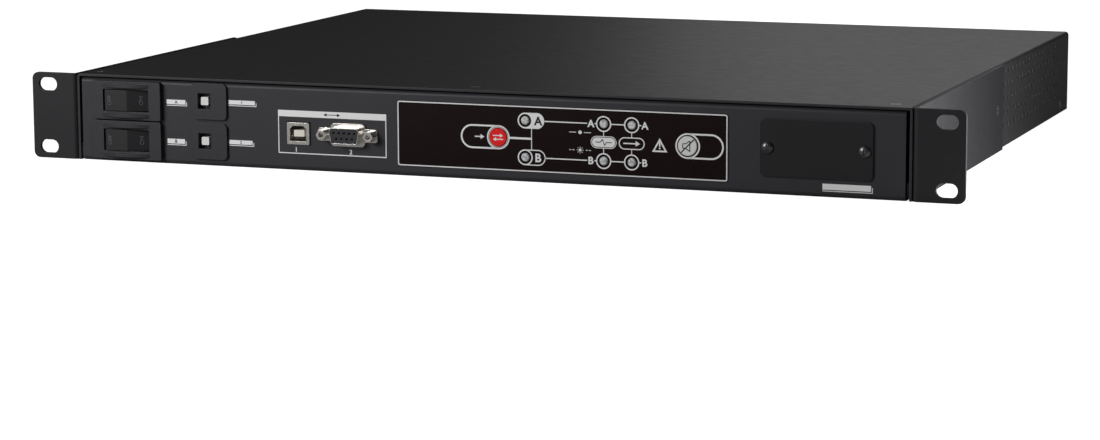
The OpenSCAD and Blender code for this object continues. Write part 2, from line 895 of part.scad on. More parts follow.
module display_overlay() {
    color("#1a1214") placed() between_y(-overlay_t, 0) difference() {
        translate([overlay_x, overlay_z]) round_rect(overlay_w, overlay_h, 1);
        for (p = led_places) translate(p) circle(led_r + fit_gap);
        translate([select_x, button_z]) circle(select_r + moving_gap);
        translate([mute_x, button_z]) circle(mute_r + moving_gap);
    }
}

module led_lenses() {
    color("#e8e8e8") placed() for (p = led_places) at(p[0], p[1]) {
        translate([0, -overlay_t - 0.3, 0]) rotate([-90, 0, 0])
            cylinder(r1 = led_r - 0.5, r2 = led_r, h = 0.5);
        between_y(-overlay_t + 0.2, display_board_y) circle(led_r);
        between_y(display_board_y - 1.2, display_board_y) circle(led_r + 0.4);
    }
}

module display_board() {
    color("#1f5a36") placed() between_y(display_board_y, display_board_y + board_t) difference() {
        translate([overlay_x, display_board_z]) square([overlay_w - 10, display_board_h], center = true);
        for (s = [-1, 1], t = [-1, 1])
            translate([overlay_x + s * (overlay_w / 2 - 9), display_board_z + t * (display_board_h / 2 - 4)])
                circle(board_screw_r + 0.2);
    }
}

module push_button(x, r) {
    placed() at(x, button_z) {
        translate([0, -button_proud, 0]) rotate([-90, 0, 0]) cylinder(r1 = r - 0.3, r2 = r, h = 0.3);
        between_y(-button_proud + 0.3, button_flange_y) circle(r);
        between_y(button_flange_y, button_flange_y + 1) circle(r + button_flange_r);
        between_y(button_flange_y + 1, display_board_y - tact_h - button_travel - 0.1) circle(2);
    }
}

module select_button() {
    color("#e0201c") push_button(select_x, select_r);
}

module mute_button() {
    color("#f0f0f0") push_button(mute_x, mute_r);
}

module tact_switches() {
    color("#222226") placed() for (x = [select_x, mute_x]) at(x, button_z) {
        between_y(display_board_y - tact_h + 0.6, display_board_y) square(6, center = true);
        between_y(display_board_y - tact_h, display_board_y) circle(1.7);
    }
}

// Card slot

module slot_cover() {
    color("#2c2c30") placed() at(slot_x, slot_cover_z) between_y(-slot_cover_t, 0) difference() {
        round_rect(slot_cover_w, slot_cover_h, slot_cover_r);
        for (s = [-1, 1]) translate([s * slot_screw_spacing / 2, 0]) circle(m3_r + screw_gap);
    }
}

module slot_cover_screws() {
    color("#8c8c90") placed() for (s = [-1, 1])
        translate([slot_x + s * slot_screw_spacing / 2, -slot_cover_t, slot_cover_z]) rotate([90, 0, 0])
            pan_screw(slot_screw_head_r, slot_screw_head_h, m3_r, slot_cover_t + panel_t + 4);
}

// Two folded rails that stand on the tray and carry the edges of a card
module slot_card_guides() {
    rail_x = slot_open_w / 2 + 0.4;
    rail_h = slot_cover_z + 4 - sheet_t;
    color("#3a3a3e") placed() for (s = [-1, 1])
        translate([slot_x, panel_t + sheet_t + 0.3, sheet_t]) mirror([s < 0 ? 1 : 0, 0, 0])
            translate([0, guide_d, 0]) rotate([90, 0, 0]) linear_extrude(guide_d) {
                translate([rail_x - 1, 0]) square([10, guide_t]);
                translate([rail_x, 0]) square([guide_t, rail_h]);
                for (z = [rail_h - guide_t, rail_h - 3 * guide_t - 0.6])
                    translate([rail_x - 3, z]) square([3 + guide_t, guide_t]);
            }
}

// Terminal block

module terminal_header() {
    color("#8fd69c") placed() at(terminal_x, 0) difference() {
        union() {
            translate([0, 0, terminal_z]) between_y(rear_face, rear_face + header_proud)
                round_rect(header_w, header_h, 0.6);
            translate([0, 0, terminal_z]) between_y(rear_face - header_body_d, rear_face)
                square([plug_w + 2.8, plug_h + 0.8], center = true);
        }
        translate([-plug_w / 2 - fit_gap, rear_face - plug_depth - fit_gap, terminal_z - plug_h / 2 + 0.4])
            cube([plug_w + 2 * fit_gap, plug_depth + header_proud + 2, plug_h]);
        between_y(rear_face + header_proud - 2, rear_face + header_proud + over)
            for (s = [-1, 1]) translate([s * header_hole_x, header_hole_z]) circle(header_hole_r);
        between_y(rear_face - 6, rear_face + header_proud + over) {
            for (s = [-1, 1]) translate([s * header_hole_x, header_hole_z]) circle(m3_r + fit_gap);
            for (s = [-1, 1]) translate([s * flange_screw_x, flange_screw_z])
                circle(flange_screw_r + fit_gap);
        }
    }
}

module terminal_plug() {
    low = terminal_z - plug_h / 2 + 0.4 + fit_gap;
    high = low + plug_h - 2 * fit_gap;
    face_y = rear_face + plug_proud;
    color("#9be0a6") placed() at(terminal_x, 0) difference() {
        between_x(-plug_w / 2, plug_w / 2)
            polygon([[rear_face - plug_depth, low], [plug_ledge_y, low], [face_y, low + 1.2],
                [face_y, high - 5],
                [face_y - 1.6, high - 4.2], [face_y - 2.6, high], [rear_face - plug_depth, high]]);
        for (i = [0:terminal_ways - 1]) {
            x = (i - (terminal_ways - 1) / 2) * terminal_pitch;
            translate([x - entry_w / 2, face_y - 8, entry_z - entry_h / 2])
                cube([entry_w, 8 + over, entry_h]);
            translate([x, rear_face + 2.6, high - 4]) cylinder(r = clamp_screw_r + fit_gap, h = 4 + over);
        }
    }
}

// Slotted cylinder head facing the rear
module slotted_head(r, y0, y1) {
    difference() {
        between_y(y0, y1) circle(r);
        translate([-r - over, y1 - 0.6, -0.3]) cube([2 * (r + over), 0.6 + over, 0.6]);
    }
}

module terminal_flange_screws() {
    color("#31553a") placed() for (s = [-1, 1]) {
        at(terminal_x + s * flange_screw_x, flange_screw_z)
            slotted_head(flange_screw_r, rear_face - 5, rear_face + header_proud - 0.4);
        at(terminal_x + s * header_hole_x, header_hole_z) {
            slotted_head(header_hole_r - fit_gap, rear_face + header_proud - 2,
                rear_face + header_proud - 0.8);
            between_y(rear_face - 6, rear_face + header_proud - 2) circle(m3_r);
        }
    }
}

module terminal_clamp_screws() {
    top = terminal_z + plug_h / 2 + 0.4 - fit_gap;
    color("#b9bcb9") placed() for (i = [0:terminal_ways - 1])
        translate([terminal_x + (i - (terminal_ways - 1) / 2) * terminal_pitch, rear_face + 2.6, top])
            difference() {
                translate([0, 0, -4]) cylinder(r = clamp_screw_r, h = 3.6);
                translate([-clamp_screw_r - over, -0.25, -1]) cube([2 * (clamp_screw_r + over), 0.5, 2]);
            }
}

// Outlets and inlets

function outlet_places(x) = [for (i = [0:3]) x + (i - 1.5) * outlet_pitch];

module bank_frame(x) {
    color("#28282b") placed() difference() {
        union() {
            at(x, outlet_z) between_y(rear_face, bezel_back) round_rect(bank_w, bank_h, 1);
            at(x, outlet_z) between_y(rear_face - c13_depth, rear_face + over / 2)
                square([bank_body_w, bank_body_h], center = true);
        }
        for (ox = outlet_places(x)) at(ox, outlet_z) {
            between_y(rear_face - c13_depth - over, bezel_back + over)
                outlet_outline(c13_open_w, c13_open_h, 4.6, 2.6);
            between_y(bezel_back - 0.5, bezel_back + over)
                outlet_outline(c13_open_w + 0.8, c13_open_h + 0.8, 4.8, 3);
        }
    }
}

module c13_slots() {
    for (s = [-1, 1]) translate([1.8, s * 7]) square([4.8, 2.4], center = true);
    translate([-2.2, 0]) square([4.8, 2.4], center = true);
}

// Back plate with one keyed core for each outlet
module bank_cores(x) {
    core_y = rear_face - c13_depth;
    color("#2f2f33") placed() difference() {
        union() {
            at(x, outlet_z) between_y(core_y - bank_back_t, core_y)
                square([bank_body_w, bank_body_h], center = true);
            for (ox = outlet_places(x)) at(ox, outlet_z)
                between_y(core_y, bezel_back - 0.6) outlet_outline(c13_core_w, c13_core_h, 4.4, 1.8);
        }
        for (ox = outlet_places(x)) at(ox, outlet_z) between_y(core_y - bank_back_t - over, bezel_back)
            c13_slots();
    }
}

module outlet_bank_3_frame() {
    bank_frame(bank_3_x);
}

module outlet_bank_3_cores() {
    bank_cores(bank_3_x);
}

module outlet_bank_2_frame() {
    bank_frame(bank_2_x);
}

module outlet_bank_2_cores() {
    bank_cores(bank_2_x);
}

module outlet_1_frame() {
    color("#28282b") placed() at(outlet_1_x, outlet_1_z) difference() {
        union() {
            translate([0, 0, -0.6]) between_y(rear_face, bezel_back)
                round_rect(c19_bezel_w, c19_bezel_h, 1.2);
            between_y(rear_face - c19_depth, rear_face + over / 2)
                square([c19_open_w + 2.4, c19_open_h + 2.4], center = true);
        }
        between_y(rear_face - c19_depth - over, bezel_back + over) round_rect(c19_open_w, c19_open_h, 3);
        between_y(bezel_back - 0.5, bezel_back + over) round_rect(c19_open_w + 0.8, c19_open_h + 0.8, 3.4);
    }
}

module c19_slots() {
    for (s = [-1, 1]) translate([s * 6.5, 4.1]) square([8.4, 2.9], center = true);
    translate([0, -3.8]) square([8.4, 2.9], center = true);
}

module outlet_1_core() {
    core_y = rear_face - c19_depth;
    color("#2f2f33") placed() at(outlet_1_x, outlet_1_z) difference() {
        union() {
            between_y(core_y - bank_back_t, core_y)
                square([c19_open_w + 2.4, c19_open_h + 2.4], center = true);
            between_y(core_y, bezel_back - 0.6) round_rect(c19_core_w, c19_core_h, 2.4);
        }
        between_y(core_y - bank_back_t - over, bezel_back) c19_slots();
    }
}

// Pair of spring leaves that grip a blade, with a solder tail behind
module contact(w, gap) {
    leaf = contact_leaf_t;
    web_y = contact_tail_l - contact_back;
    for (s = [-1, 1]) translate([-w / 2, web_y + leaf, s * (gap / 2 - leaf / 2 - 0.05) - leaf / 2])
        cube([w, contact_leaf_l, leaf]);
    translate([-w / 2, web_y, -gap / 2 + 0.05]) cube([w, leaf, gap - 0.1]);
    translate([-w / 4, -contact_back, -leaf]) cube([w / 2, contact_tail_l, 2 * leaf]);
}

module outlet_contacts() {
    small_y = rear_face - c13_depth - bank_back_t;
    large_y = rear_face - c19_depth - bank_back_t;
    color("#c79a4b") placed() {
        for (x = [bank_3_x, bank_2_x], ox = outlet_places(x)) translate([ox, small_y, outlet_z]) {
            for (s = [-1, 1]) translate([1.8, 0, s * 7]) contact(4.4, 2.4);
            translate([-2.2, 0, 0]) contact(4.4, 2.4);
        }
        translate([outlet_1_x, large_y, outlet_1_z]) {
            for (s = [-1, 1]) translate([s * 6.5, 0, 4.1]) contact(7.8, 2.9);
            translate([0, 0, -3.8]) contact(7.8, 2.9);
        }
    }
}

module blade_outline() {
    for (s = [-1, 1]) translate([blade_x_power, s * blade_pitch / 2])
        square([blade_t, blade_h], center = true);
    translate([blade_x_earth, 0]) square([blade_t, blade_h], center = true);
}

module inlet_housing(x) {
    floor_y = rear_face + bezel_proud - inlet_depth;
    color("#28282b") placed() at(x, inlet_z) difference() {
        union() {
            translate([0.2, 0, -0.3]) between_y(rear_face, bezel_back)
                round_rect(c20_bezel_w, c20_bezel_h, 0.8);
            between_y(floor_y - 3, rear_face + over / 2)
                square([c20_open_w + 2 * c20_wall, c20_open_h + 2 * c20_wall], center = true);
        }
        between_y(floor_y, bezel_back + over) round_rect(c20_open_w, c20_open_h, 2.6);
        between_y(floor_y - 3 - over, floor_y + over) blade_outline();
    }
}

module inlet_a_housing() {
    inlet_housing(inlet_a_x);
}

module inlet_b_housing() {
    inlet_housing(inlet_b_x);
}

module inlet_blades(x) {
    floor_y = rear_face + bezel_proud - inlet_depth;
    color("#d6d6d8") placed() at(x, inlet_z) {
        between_y(floor_y - 12, floor_y + blade_l) blade_outline();
    }
}

module inlet_a_blades() {
    inlet_blades(inlet_a_x);
}

module inlet_b_blades() {
    inlet_blades(inlet_b_x);
}

// Boards

function corners(xs, ys, inset)
    = [for (x = [xs[0] + inset, xs[1] - inset], y = [ys[0] + inset, ys[1] - inset]) [x, y]];

power_holes = corners(power_x, power_y, 5);
control_holes = corners(control_x, control_y, 5);
comms_holes = corners(comms_x, comms_y, 4);

module board(xs, ys, z, holes) {
    between_z(z, z + board_t) difference() {
        translate([xs[0], ys[0]]) square([xs[1] - xs[0], ys[1] - ys[0]]);
        for (p = holes) translate(p) circle(board_screw_r + 0.2);
        children();
    }
}

module comms_board() {
    color("#1f5a36") placed() board(comms_x, [panel_t + 2.4, comms_y[1]], comms_z, comms_holes)
        translate([serial_x, panel_t + 2]) square([serial_w + 4, 17], center = true);
}

module control_board() {
    color("#1f5a36") placed() board(control_x, control_y, control_z, control_holes);
}

module power_board() {
    color("#1f5a36") placed() board(power_x, power_y, power_board_z, power_holes)
        translate([sink_x[0] - fit_gap, sink_y[0] - fit_gap])
            square([sink_x[1] - sink_x[0] + 2 * fit_gap, sink_y[1] - sink_y[0] + 2 * fit_gap]);
}

module standoff(x, y, z0, z1) {
    translate([x, y, z0]) difference() {
        cylinder(d = standoff_af / cos(30), h = z1 - z0, $fn = 6);
        translate([0, 0, z1 - z0 - 5]) cylinder(r = board_screw_r + 0.1, h = 5 + over);
    }
}

module board_standoffs() {
    color("#b8b4a6") placed() {
        for (p = power_holes) standoff(p[0], p[1], sheet_t, power_board_z);
        for (p = control_holes) standoff(p[0], p[1], sheet_t, control_z);
        for (p = comms_holes) standoff(p[0], p[1], sheet_t, comms_z);
        for (s = [-1, 1], t = [-1, 1])
            translate([overlay_x + s * (overlay_w / 2 - 9), panel_t,
                display_board_z + t * (display_board_h / 2 - 4)])
                rotate([-90, 0, 0]) standoff(0, 0, 0, display_board_y - panel_t);
    }
}

module board_screws() {
    color("#b8b8bc") placed() {
        for (p = power_holes) translate([p[0], p[1], power_board_z + board_t])
            pan_screw(screw_head_r, screw_head_h, board_screw_r, board_t + 3);
        for (p = control_holes) translate([p[0], p[1], control_z + board_t])
            pan_screw(screw_head_r, screw_head_h, board_screw_r, board_t + 3);
        for (p = comms_holes) translate([p[0], p[1], comms_z + board_t])
            pan_screw(screw_head_r, screw_head_h, board_screw_r, board_t + 3);
        for (s = [-1, 1], t = [-1, 1])
            translate([overlay_x + s * (overlay_w / 2 - 9), display_board_y + board_t,
                display_board_z + t * (display_board_h / 2 - 4)]) rotate([-90, 0, 0])
                    pan_screw(screw_head_r, screw_head_h, board_screw_r, board_t + 3);
    }
}

// Finned extrusion that stands on the tray through the power board's window
module heatsink() {
    w = sink_x[1] - sink_x[0];
    pitch = (w - fin_t) / (sink_fins - 1);
    color("#9a9da1") placed() translate([sink_x[0], 0, sheet_t]) between_y(sink_y[0], sink_y[1]) {
        square([w, sink_foot_t]);
        for (i = [0:sink_fins - 1]) translate([i * pitch, 0]) square([fin_t, sink_h + sink_foot_t]);
    }
}

// Flat packages that stand on the power board against the outer fins
module thyristors() {
    low = power_board_z + board_t;
    color("#1c1c1e") placed() for (s = [0, 1], i = [0:3]) {
        x = s == 0 ? sink_x[0] - package_t : sink_x[1];
        y = sink_y[0] + package_first + i * package_pitch;
        translate([x, y, low + 2]) cube([package_t, package_w, package_h]);
        for (j = [-1:1])
            translate([x + package_t / 2 - 0.3, y + package_w / 2 + j * package_lead_pitch - 0.6, low])
            cube([0.6, 1.2, 2.4]);
    }
}

module relays() {
    low = power_board_z + board_t;
    color("#2b3f66") placed() for (i = [0:4], j = [0:1])
        translate([power_x[0] + relay_first[0] + j * relay_pitch_x,
            power_y[0] + relay_first[1] + i * relay_pitch_y, low])
            between_z(0, relay_h) round_rect(relay_l, relay_w, 1);
}

module capacitors() {
    low = power_board_z + board_t;
    color("#24242c") placed() for (i = [0:3], j = [0:1])
        translate([sink_x[1] + capacitor_first[0] + j * capacitor_pitch_x,
            power_y[0] + capacitor_first[1] + i * capacitor_pitch_y, low]) {
            cylinder(r = capacitor_r, h = capacitor_h);
            cylinder(r = capacitor_r + 0.2, h = capacitor_rim_h);
        }
}

// Laminated core with its winding, two of them on the power board
module supply_transformers() {
    low = power_board_z + board_t;
    color("#8a7a58") placed() for (i = [0, 1])
        translate([power_x[1] - transformer_inset[0],
            power_y[0] + transformer_inset[1] + i * transformer_pitch, low]) {
            low_z = transformer_flange_h;
            high_z = transformer_h - transformer_flange_h;
            between_z(0, low_z) round_rect(transformer_w, transformer_l, 1);
            between_z(low_z, high_z) round_rect(winding_w, winding_l, 4);
            between_z(high_z, transformer_h) round_rect(transformer_w, transformer_l, 1);
            for (s = [-1, 1]) translate([0, s * (transformer_l - core_leg_l) / 2, (low_z + high_z) / 2])
                cube([core_leg_w, core_leg_l, high_z - low_z], center = true);
        }
}

base_tray();
top_cover();
front_panel();
rear_panel();
left_ear_bracket();
right_ear_bracket();
ear_screws();
cover_screws();
switch_a_housing();
switch_b_housing();
switch_a_rocker();
switch_b_rocker();
switch_terminals();
breaker_1_body();
breaker_2_body();
breaker_1_button();
breaker_2_button();
breaker_terminals();
usb_shell();
usb_tongue();
serial_shell();
serial_insulator();
serial_jackscrews();
display_overlay();
led_lenses();
display_board();
select_button();
mute_button();
tact_switches();
slot_cover();
slot_cover_screws();
slot_card_guides();
terminal_header();
terminal_plug();
terminal_flange_screws();
terminal_clamp_screws();
outlet_bank_3_frame();
outlet_bank_3_cores();
outlet_bank_2_frame();
outlet_bank_2_cores();
outlet_1_frame();
outlet_1_core();
outlet_contacts();
inlet_a_housing();
inlet_b_housing();
inlet_a_blades();
inlet_b_blades();
comms_board();
control_board();
power_board();
board_standoffs();
board_screws();
heatsink();
thyristors();
relays();
capacitors();
supply_transformers();
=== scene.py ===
import json
import math

import bmesh
import bpy
from mathutils import Matrix, Vector


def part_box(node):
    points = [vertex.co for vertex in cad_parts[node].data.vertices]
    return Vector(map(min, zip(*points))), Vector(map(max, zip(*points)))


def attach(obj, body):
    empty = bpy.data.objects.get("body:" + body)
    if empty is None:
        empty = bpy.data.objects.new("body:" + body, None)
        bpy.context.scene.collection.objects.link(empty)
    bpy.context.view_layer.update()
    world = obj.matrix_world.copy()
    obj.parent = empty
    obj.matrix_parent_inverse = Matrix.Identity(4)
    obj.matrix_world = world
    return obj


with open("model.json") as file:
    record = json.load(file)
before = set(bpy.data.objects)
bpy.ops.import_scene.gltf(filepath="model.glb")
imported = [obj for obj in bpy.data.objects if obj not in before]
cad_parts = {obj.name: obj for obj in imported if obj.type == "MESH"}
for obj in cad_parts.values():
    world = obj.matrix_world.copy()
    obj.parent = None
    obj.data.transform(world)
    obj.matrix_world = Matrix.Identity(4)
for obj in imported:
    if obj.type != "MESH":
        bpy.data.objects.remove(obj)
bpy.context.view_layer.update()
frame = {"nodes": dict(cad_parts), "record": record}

# Lengths and places are in millimetres: x from the middle of the body, z from its underside.
MM = 0.001
UNDERSIDE_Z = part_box("base_tray")[0][2]
PANEL_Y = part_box("front_panel")[0][1]
OVERLAY_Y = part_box("display_overlay")[0][1]
REAR_PANEL_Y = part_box("rear_panel")[1][1]
FRONT, REAR = -1, 1


# Node graphs


class Graph:
    """A material with a Principled shader and short calls for the nodes that feed it."""

    def __init__(self, name):
        self.material = bpy.data.materials.new(name)
        self.material.use_nodes = True
        self.tree = self.material.node_tree
        self.shader = self.tree.nodes["Principled BSDF"]
        self.place = self.tree.nodes.new("ShaderNodeTexCoord").outputs["Object"]
        self.rounded = None

    def node(self, kind, inputs=None, **settings):
        """A new node with settings and with values or links on its inputs."""
        made = self.tree.nodes.new(kind)
        for key, value in settings.items():
            setattr(made, key, value)
        for key, value in (inputs or {}).items():
            self.feed(made.inputs[key], value)
        return made

    def feed(self, socket, value):
        """Sets an input, or links it where the value is another node's output."""
        if isinstance(value, bpy.types.NodeSocket):
            self.tree.links.new(value, socket)
        else:
            socket.default_value = value

    def set(self, **inputs):
        """Values or links on the Principled shader: base_color becomes Base Color."""
        names = {"ior": "IOR", "specular": "Specular IOR Level", "transmission": "Transmission Weight"}
        for key, value in inputs.items():
            self.feed(self.shader.inputs[names.get(key, key.replace("_", " ").title())], value)

    def noise(self, size, detail=3.0, roughness=0.55, stretch=(1, 1, 1)):
        """Noise whose features are about `size` millimetres, from 0 to 1."""
        mapped = self.node("ShaderNodeMapping", {"Vector": self.place, "Scale": stretch})
        inputs = {"Vector": mapped.outputs[0], "Scale": 1 / (size * MM), "Detail": detail}
        inputs["Roughness"] = roughness
        return self.node("ShaderNodeTexNoise", inputs).outputs["Fac"]

    def cells(self, size):
        """Distance to the nearest of scattered points, about `size` millimetres apart."""
        made = self.node("ShaderNodeTexVoronoi", {"Vector": self.place, "Scale": 1 / (size * MM)})
        return made.outputs["Distance"]

    def scale(self, value, low, high, from_low=0.0, from_high=1.0):
        """A value stretched from one range to another."""
        return self.node(
            "ShaderNodeMapRange",
            {"Value": value, "From Min": from_low, "From Max": from_high, "To Min": low, "To Max": high},
        ).outputs[0]

    def mix(self, factor, first, second):
        """Two colours, mixed by a factor."""
        made = self.node("ShaderNodeMix", data_type="RGBA")
        self.feed(made.inputs[0], factor)
        self.feed(made.inputs[6], first)
        self.feed(made.inputs[7], second)
        return made.outputs[2]

    def edges(self, radius, strength):
        """0 on flat faces, rising on edges that a rounding of `radius` millimetres would touch: the mask
        for painted edge highlights.
        """
        self.rounded = self.node("ShaderNodeBevel", {"Radius": radius * MM}, samples=6).outputs[0]
        normal = self.node("ShaderNodeNewGeometry").outputs["Normal"]
        facing = self.node("ShaderNodeVectorMath", {0: self.rounded, 1: normal}, operation="DOT_PRODUCT")
        return self.scale(facing.outputs["Value"], 0.0, strength, 0.995, 0.75)

    def bump(self, height, depth, strength=1.0):
        """Bump from a height field `depth` millimetres deep, over rounded edges where there are any."""
        made = self.node("ShaderNodeBump", {"Height": height, "Distance": depth * MM, "Strength": strength})
        if self.rounded:
            self.feed(made.inputs["Normal"], self.rounded)
        self.set(normal=made.outputs[0])


def colour(red, green, blue):
    return (red, green, blue, 1.0)


def shade(base, factor):
    """A colour made lighter or darker."""
    return colour(*[min(1.0, part * factor) for part in base[:3]])


def powder_coat(name, base, edge_highlight_colour, roughness=0.5, specular=0.35):
    """Fine-textured powder paint with a thin painted highlight along its edges."""
    graph = Graph(name)
    mottle = graph.noise(22, detail=4)
    grain = graph.noise(0.35, detail=2, roughness=0.6)
    tone = graph.mix(mottle, shade(base, 0.86), shade(base, 1.14))
    tone = graph.mix(graph.scale(grain, 0.0, 0.35, 0.45, 0.8), tone, shade(base, 1.5))
    # Painted highlight: the edges are mixed towards a lighter grey
    tone = graph.mix(graph.edges(0.45, 0.75), tone, edge_highlight_colour)
    graph.set(base_color=tone, specular=specular)
    graph.set(roughness=graph.scale(graph.noise(6), roughness - 0.06, roughness + 0.08))
    graph.bump(grain, 0.02, 0.5)
    return graph.material


def moulded(name, base, roughness=0.45, grain_size=0.25, grain_depth=0.012, specular=0.4, edge_highlight_factor=1.6):
    """Moulded plastic with a fine spark-eroded grain, and edges that look rounded with a painted highlight
    on them.
    """
    graph = Graph(name)
    grain = graph.cells(grain_size)
    tone = graph.mix(graph.noise(9, detail=4), shade(base, 0.88), shade(base, 1.12))
    # Painted highlight: the edges are lightened by a factor of the base colour
    tone = graph.mix(graph.edges(0.3, 0.6), tone, shade(base, edge_highlight_factor))
    graph.set(base_color=tone, specular=specular)
    graph.set(roughness=graph.scale(graph.noise(3), roughness - 0.07, roughness + 0.07))
    graph.bump(grain, grain_depth, 0.5)
    return graph.material


def smooth_plastic(name, base, roughness=0.22, dirt=0.08):
    """Polished plastic with a faint handling haze."""
    graph = Graph(name)
    haze = graph.noise(2.5, detail=5)
    graph.set(base_color=graph.mix(graph.scale(haze, 0.0, dirt, 0.4, 0.75), base, shade(base, 0.7)))
    graph.set(roughness=graph.scale(haze, roughness - 0.05, roughness + 0.12), coat_weight=0.2)
    graph.bump(graph.noise(0.8), 0.008, 0.4)
    return graph.material


def plated(name, base, roughness=0.28, brush=(1, 1, 1), tarnish=0.25):
    """Plated metal: drawing marks, small pits, a light tarnish and a painted highlight on its edges."""
    graph = Graph(name)
    marks = graph.noise(0.6, detail=6, roughness=0.7, stretch=brush)
    spots = graph.noise(2.2, detail=5)
    tone = graph.mix(graph.scale(spots, 0.0, tarnish, 0.45, 0.8), base, shade(base, 0.55))
    # Painted highlight: edges lighter than the plating around them
    graph.set(base_color=graph.mix(graph.edges(0.2, 0.5), tone, shade(base, 1.25)), metallic=1.0)
    graph.set(roughness=graph.scale(marks, roughness - 0.1, roughness + 0.16))
    graph.bump(marks, 0.01, 0.5)
    return graph.material


def ink(name, base, roughness=0.55):
    """Screen-printed ink with slight unevenness."""
    graph = Graph(name)
    patch = graph.noise(0.7, detail=4)
    graph.set(base_color=graph.mix(patch, base, shade(base, 0.88)), specular=0.3)
    graph.set(roughness=graph.scale(patch, roughness - 0.05, roughness + 0.1))
    graph.bump(graph.noise(0.2), 0.006, 0.4)
    return graph.material


def film(name, base):
    """Printed polyester film with a fine matt texture."""
    graph = Graph(name)
    grain = graph.cells(0.16)
    tone = graph.mix(graph.noise(14, detail=3), shade(base, 0.8), shade(base, 1.3))
    graph.set(base_color=tone, specular=0.12, coat_weight=0.05, coat_roughness=0.2)
    graph.set(roughness=graph.scale(graph.noise(5), 0.34, 0.46))
    graph.bump(grain, 0.006, 0.35)
    return graph.material


def lens(name, base):
    """Clear indicator lens over a pale reflector, with grey spots painted into its colour as reflections.
    """
    graph = Graph(name)
    reflection_spot_noise = graph.noise(1.3, detail=2)
    # Painted reflection: noise darkens the lens colour in grey spots; the same noise varies roughness and
    # bump
    graph.set(base_color=graph.mix(graph.scale(reflection_spot_noise, 0.0, 1.0, 0.4, 0.62), base, shade(base, 0.45)))
    graph.set(roughness=graph.scale(reflection_spot_noise, 0.06, 0.14), coat_weight=0.8, ior=1.5)
    graph.bump(reflection_spot_noise, 0.05, 0.5)
    return graph.material


def circuit(name, base):
    """Solder mask over a fine pattern of copper tracks."""
    graph = Graph(name)
    tracks = graph.node(
        "ShaderNodeTexBrick",
        {"Vector": graph.place, "Scale": 1 / (2.4 * MM), "Mortar Size": 0.12, "Color1": shade(base, 0.8),
         "Color2": base, "Mortar": shade(base, 1.8)},
    ).outputs["Color"]
    graph.set(base_color=graph.mix(graph.noise(12), tracks, shade(base, 0.6)), specular=0.5)
    graph.set(roughness=graph.scale(graph.noise(4), 0.25, 0.45))
    graph.bump(graph.noise(0.8), 0.02, 0.5)
    return graph.material


def laminated(name, base):
    """Stacked core sheets under varnish."""
    graph = Graph(name)
    layers = graph.node(
        "ShaderNodeTexWave",
        {"Vector": graph.place, "Scale": 1 / (5 * MM), "Distortion": 0.6},
        bands_direction="Z",
    ).outputs["Fac"]
    graph.set(base_color=graph.mix(layers, shade(base, 0.6), base), metallic=0.6)
    graph.set(roughness=graph.scale(layers, 0.35, 0.6))
    graph.bump(layers, 0.1, 0.5)
    return graph.material


# Lighter grey painted along the edges of the powder coats as a highlight
EDGE_HIGHLIGHT_GREY = colour(0.10, 0.10, 0.11)
MATERIALS = {
    "black_powder": powder_coat("black_powder", colour(0.021, 0.021, 0.022), EDGE_HIGHLIGHT_GREY, 0.48),
    "panel_powder": powder_coat("panel_powder", colour(0.026, 0.026, 0.031), EDGE_HIGHLIGHT_GREY, 0.5),
    "black_zinc": plated("black_zinc", colour(0.16, 0.16, 0.165), 0.36),
    "zinc": plated("zinc", colour(0.42, 0.42, 0.43), 0.3),
    "dark_screw": plated("dark_screw", colour(0.05, 0.13, 0.07), 0.4),
    "black_nylon": moulded("black_nylon", colour(0.024, 0.024, 0.028)),
    "rocker_plastic": moulded("rocker_plastic", colour(0.009, 0.009, 0.011), 0.5),
    "socket_plastic": moulded("socket_plastic", colour(0.022, 0.022, 0.026), 0.45, 0.4, 0.02),
    "white_plastic": smooth_plastic("white_plastic", colour(0.80, 0.80, 0.79)),
    "ivory_plastic": moulded("ivory_plastic", colour(0.82, 0.79, 0.70), 0.4, edge_highlight_factor=1.05),
    "red_plastic": smooth_plastic("red_plastic", colour(0.90, 0.006, 0.006)),
    "green_plastic": moulded("green_plastic", colour(0.34, 0.76, 0.42), 0.42, 0.5, 0.01, edge_highlight_factor=1.25),
    "lens_plastic": lens("lens_plastic", colour(0.85, 0.86, 0.87)),
    "overlay_film": film("overlay_film", colour(0.007, 0.0015, 0.002)),
    "relay_plastic": moulded("relay_plastic", colour(0.02, 0.04, 0.12)),
    "capacitor_sleeve": smooth_plastic("capacitor_sleeve", colour(0.02, 0.02, 0.03)),
    "circuit_board": circuit("circuit_board", colour(0.02, 0.15, 0.06)),
    "laminated_steel": laminated("laminated_steel", colour(0.30, 0.26, 0.20)),
    "nickel": plated("nickel", colour(0.70, 0.68, 0.64), 0.22),
    "tinned_brass": plated("tinned_brass", colour(0.68, 0.68, 0.68), 0.35),
    "brass": plated("brass", colour(0.74, 0.52, 0.20), 0.3),
    "aluminium": plated("aluminium", colour(0.60, 0.61, 0.62), 0.38, (0.1, 1, 1)),
}
WHITE_INK = ink("white_ink", colour(0.92, 0.92, 0.92))
BLACK_INK = ink("black_ink", colour(0.010, 0.009, 0.010))
RAISED_MARK = moulded("raised_mark", colour(0.07, 0.07, 0.075), 0.5)

# Nodes that look different from the rest of their slot
EAR_COAT = powder_coat("ear_powder", colour(0.009, 0.009, 0.011), EDGE_HIGHLIGHT_GREY, 0.56)
OWN_MATERIALS = {
    "slot_cover": powder_coat("cover_plate_powder", colour(0.006, 0.006, 0.008), EDGE_HIGHLIGHT_GREY, 0.6),
    "slot_cover_screws": plated("cover_plate_screw", colour(0.13, 0.13, 0.13), 0.34),
    "left_ear_bracket": EAR_COAT,
    "right_ear_bracket": EAR_COAT,
}

for part in frame["record"]["subparts"]:
    mesh = frame["nodes"][part["node"]].data
    mesh.materials.clear()
    mesh.materials.append(OWN_MATERIALS.get(part["node"]) or MATERIALS[part["material_slot"]])


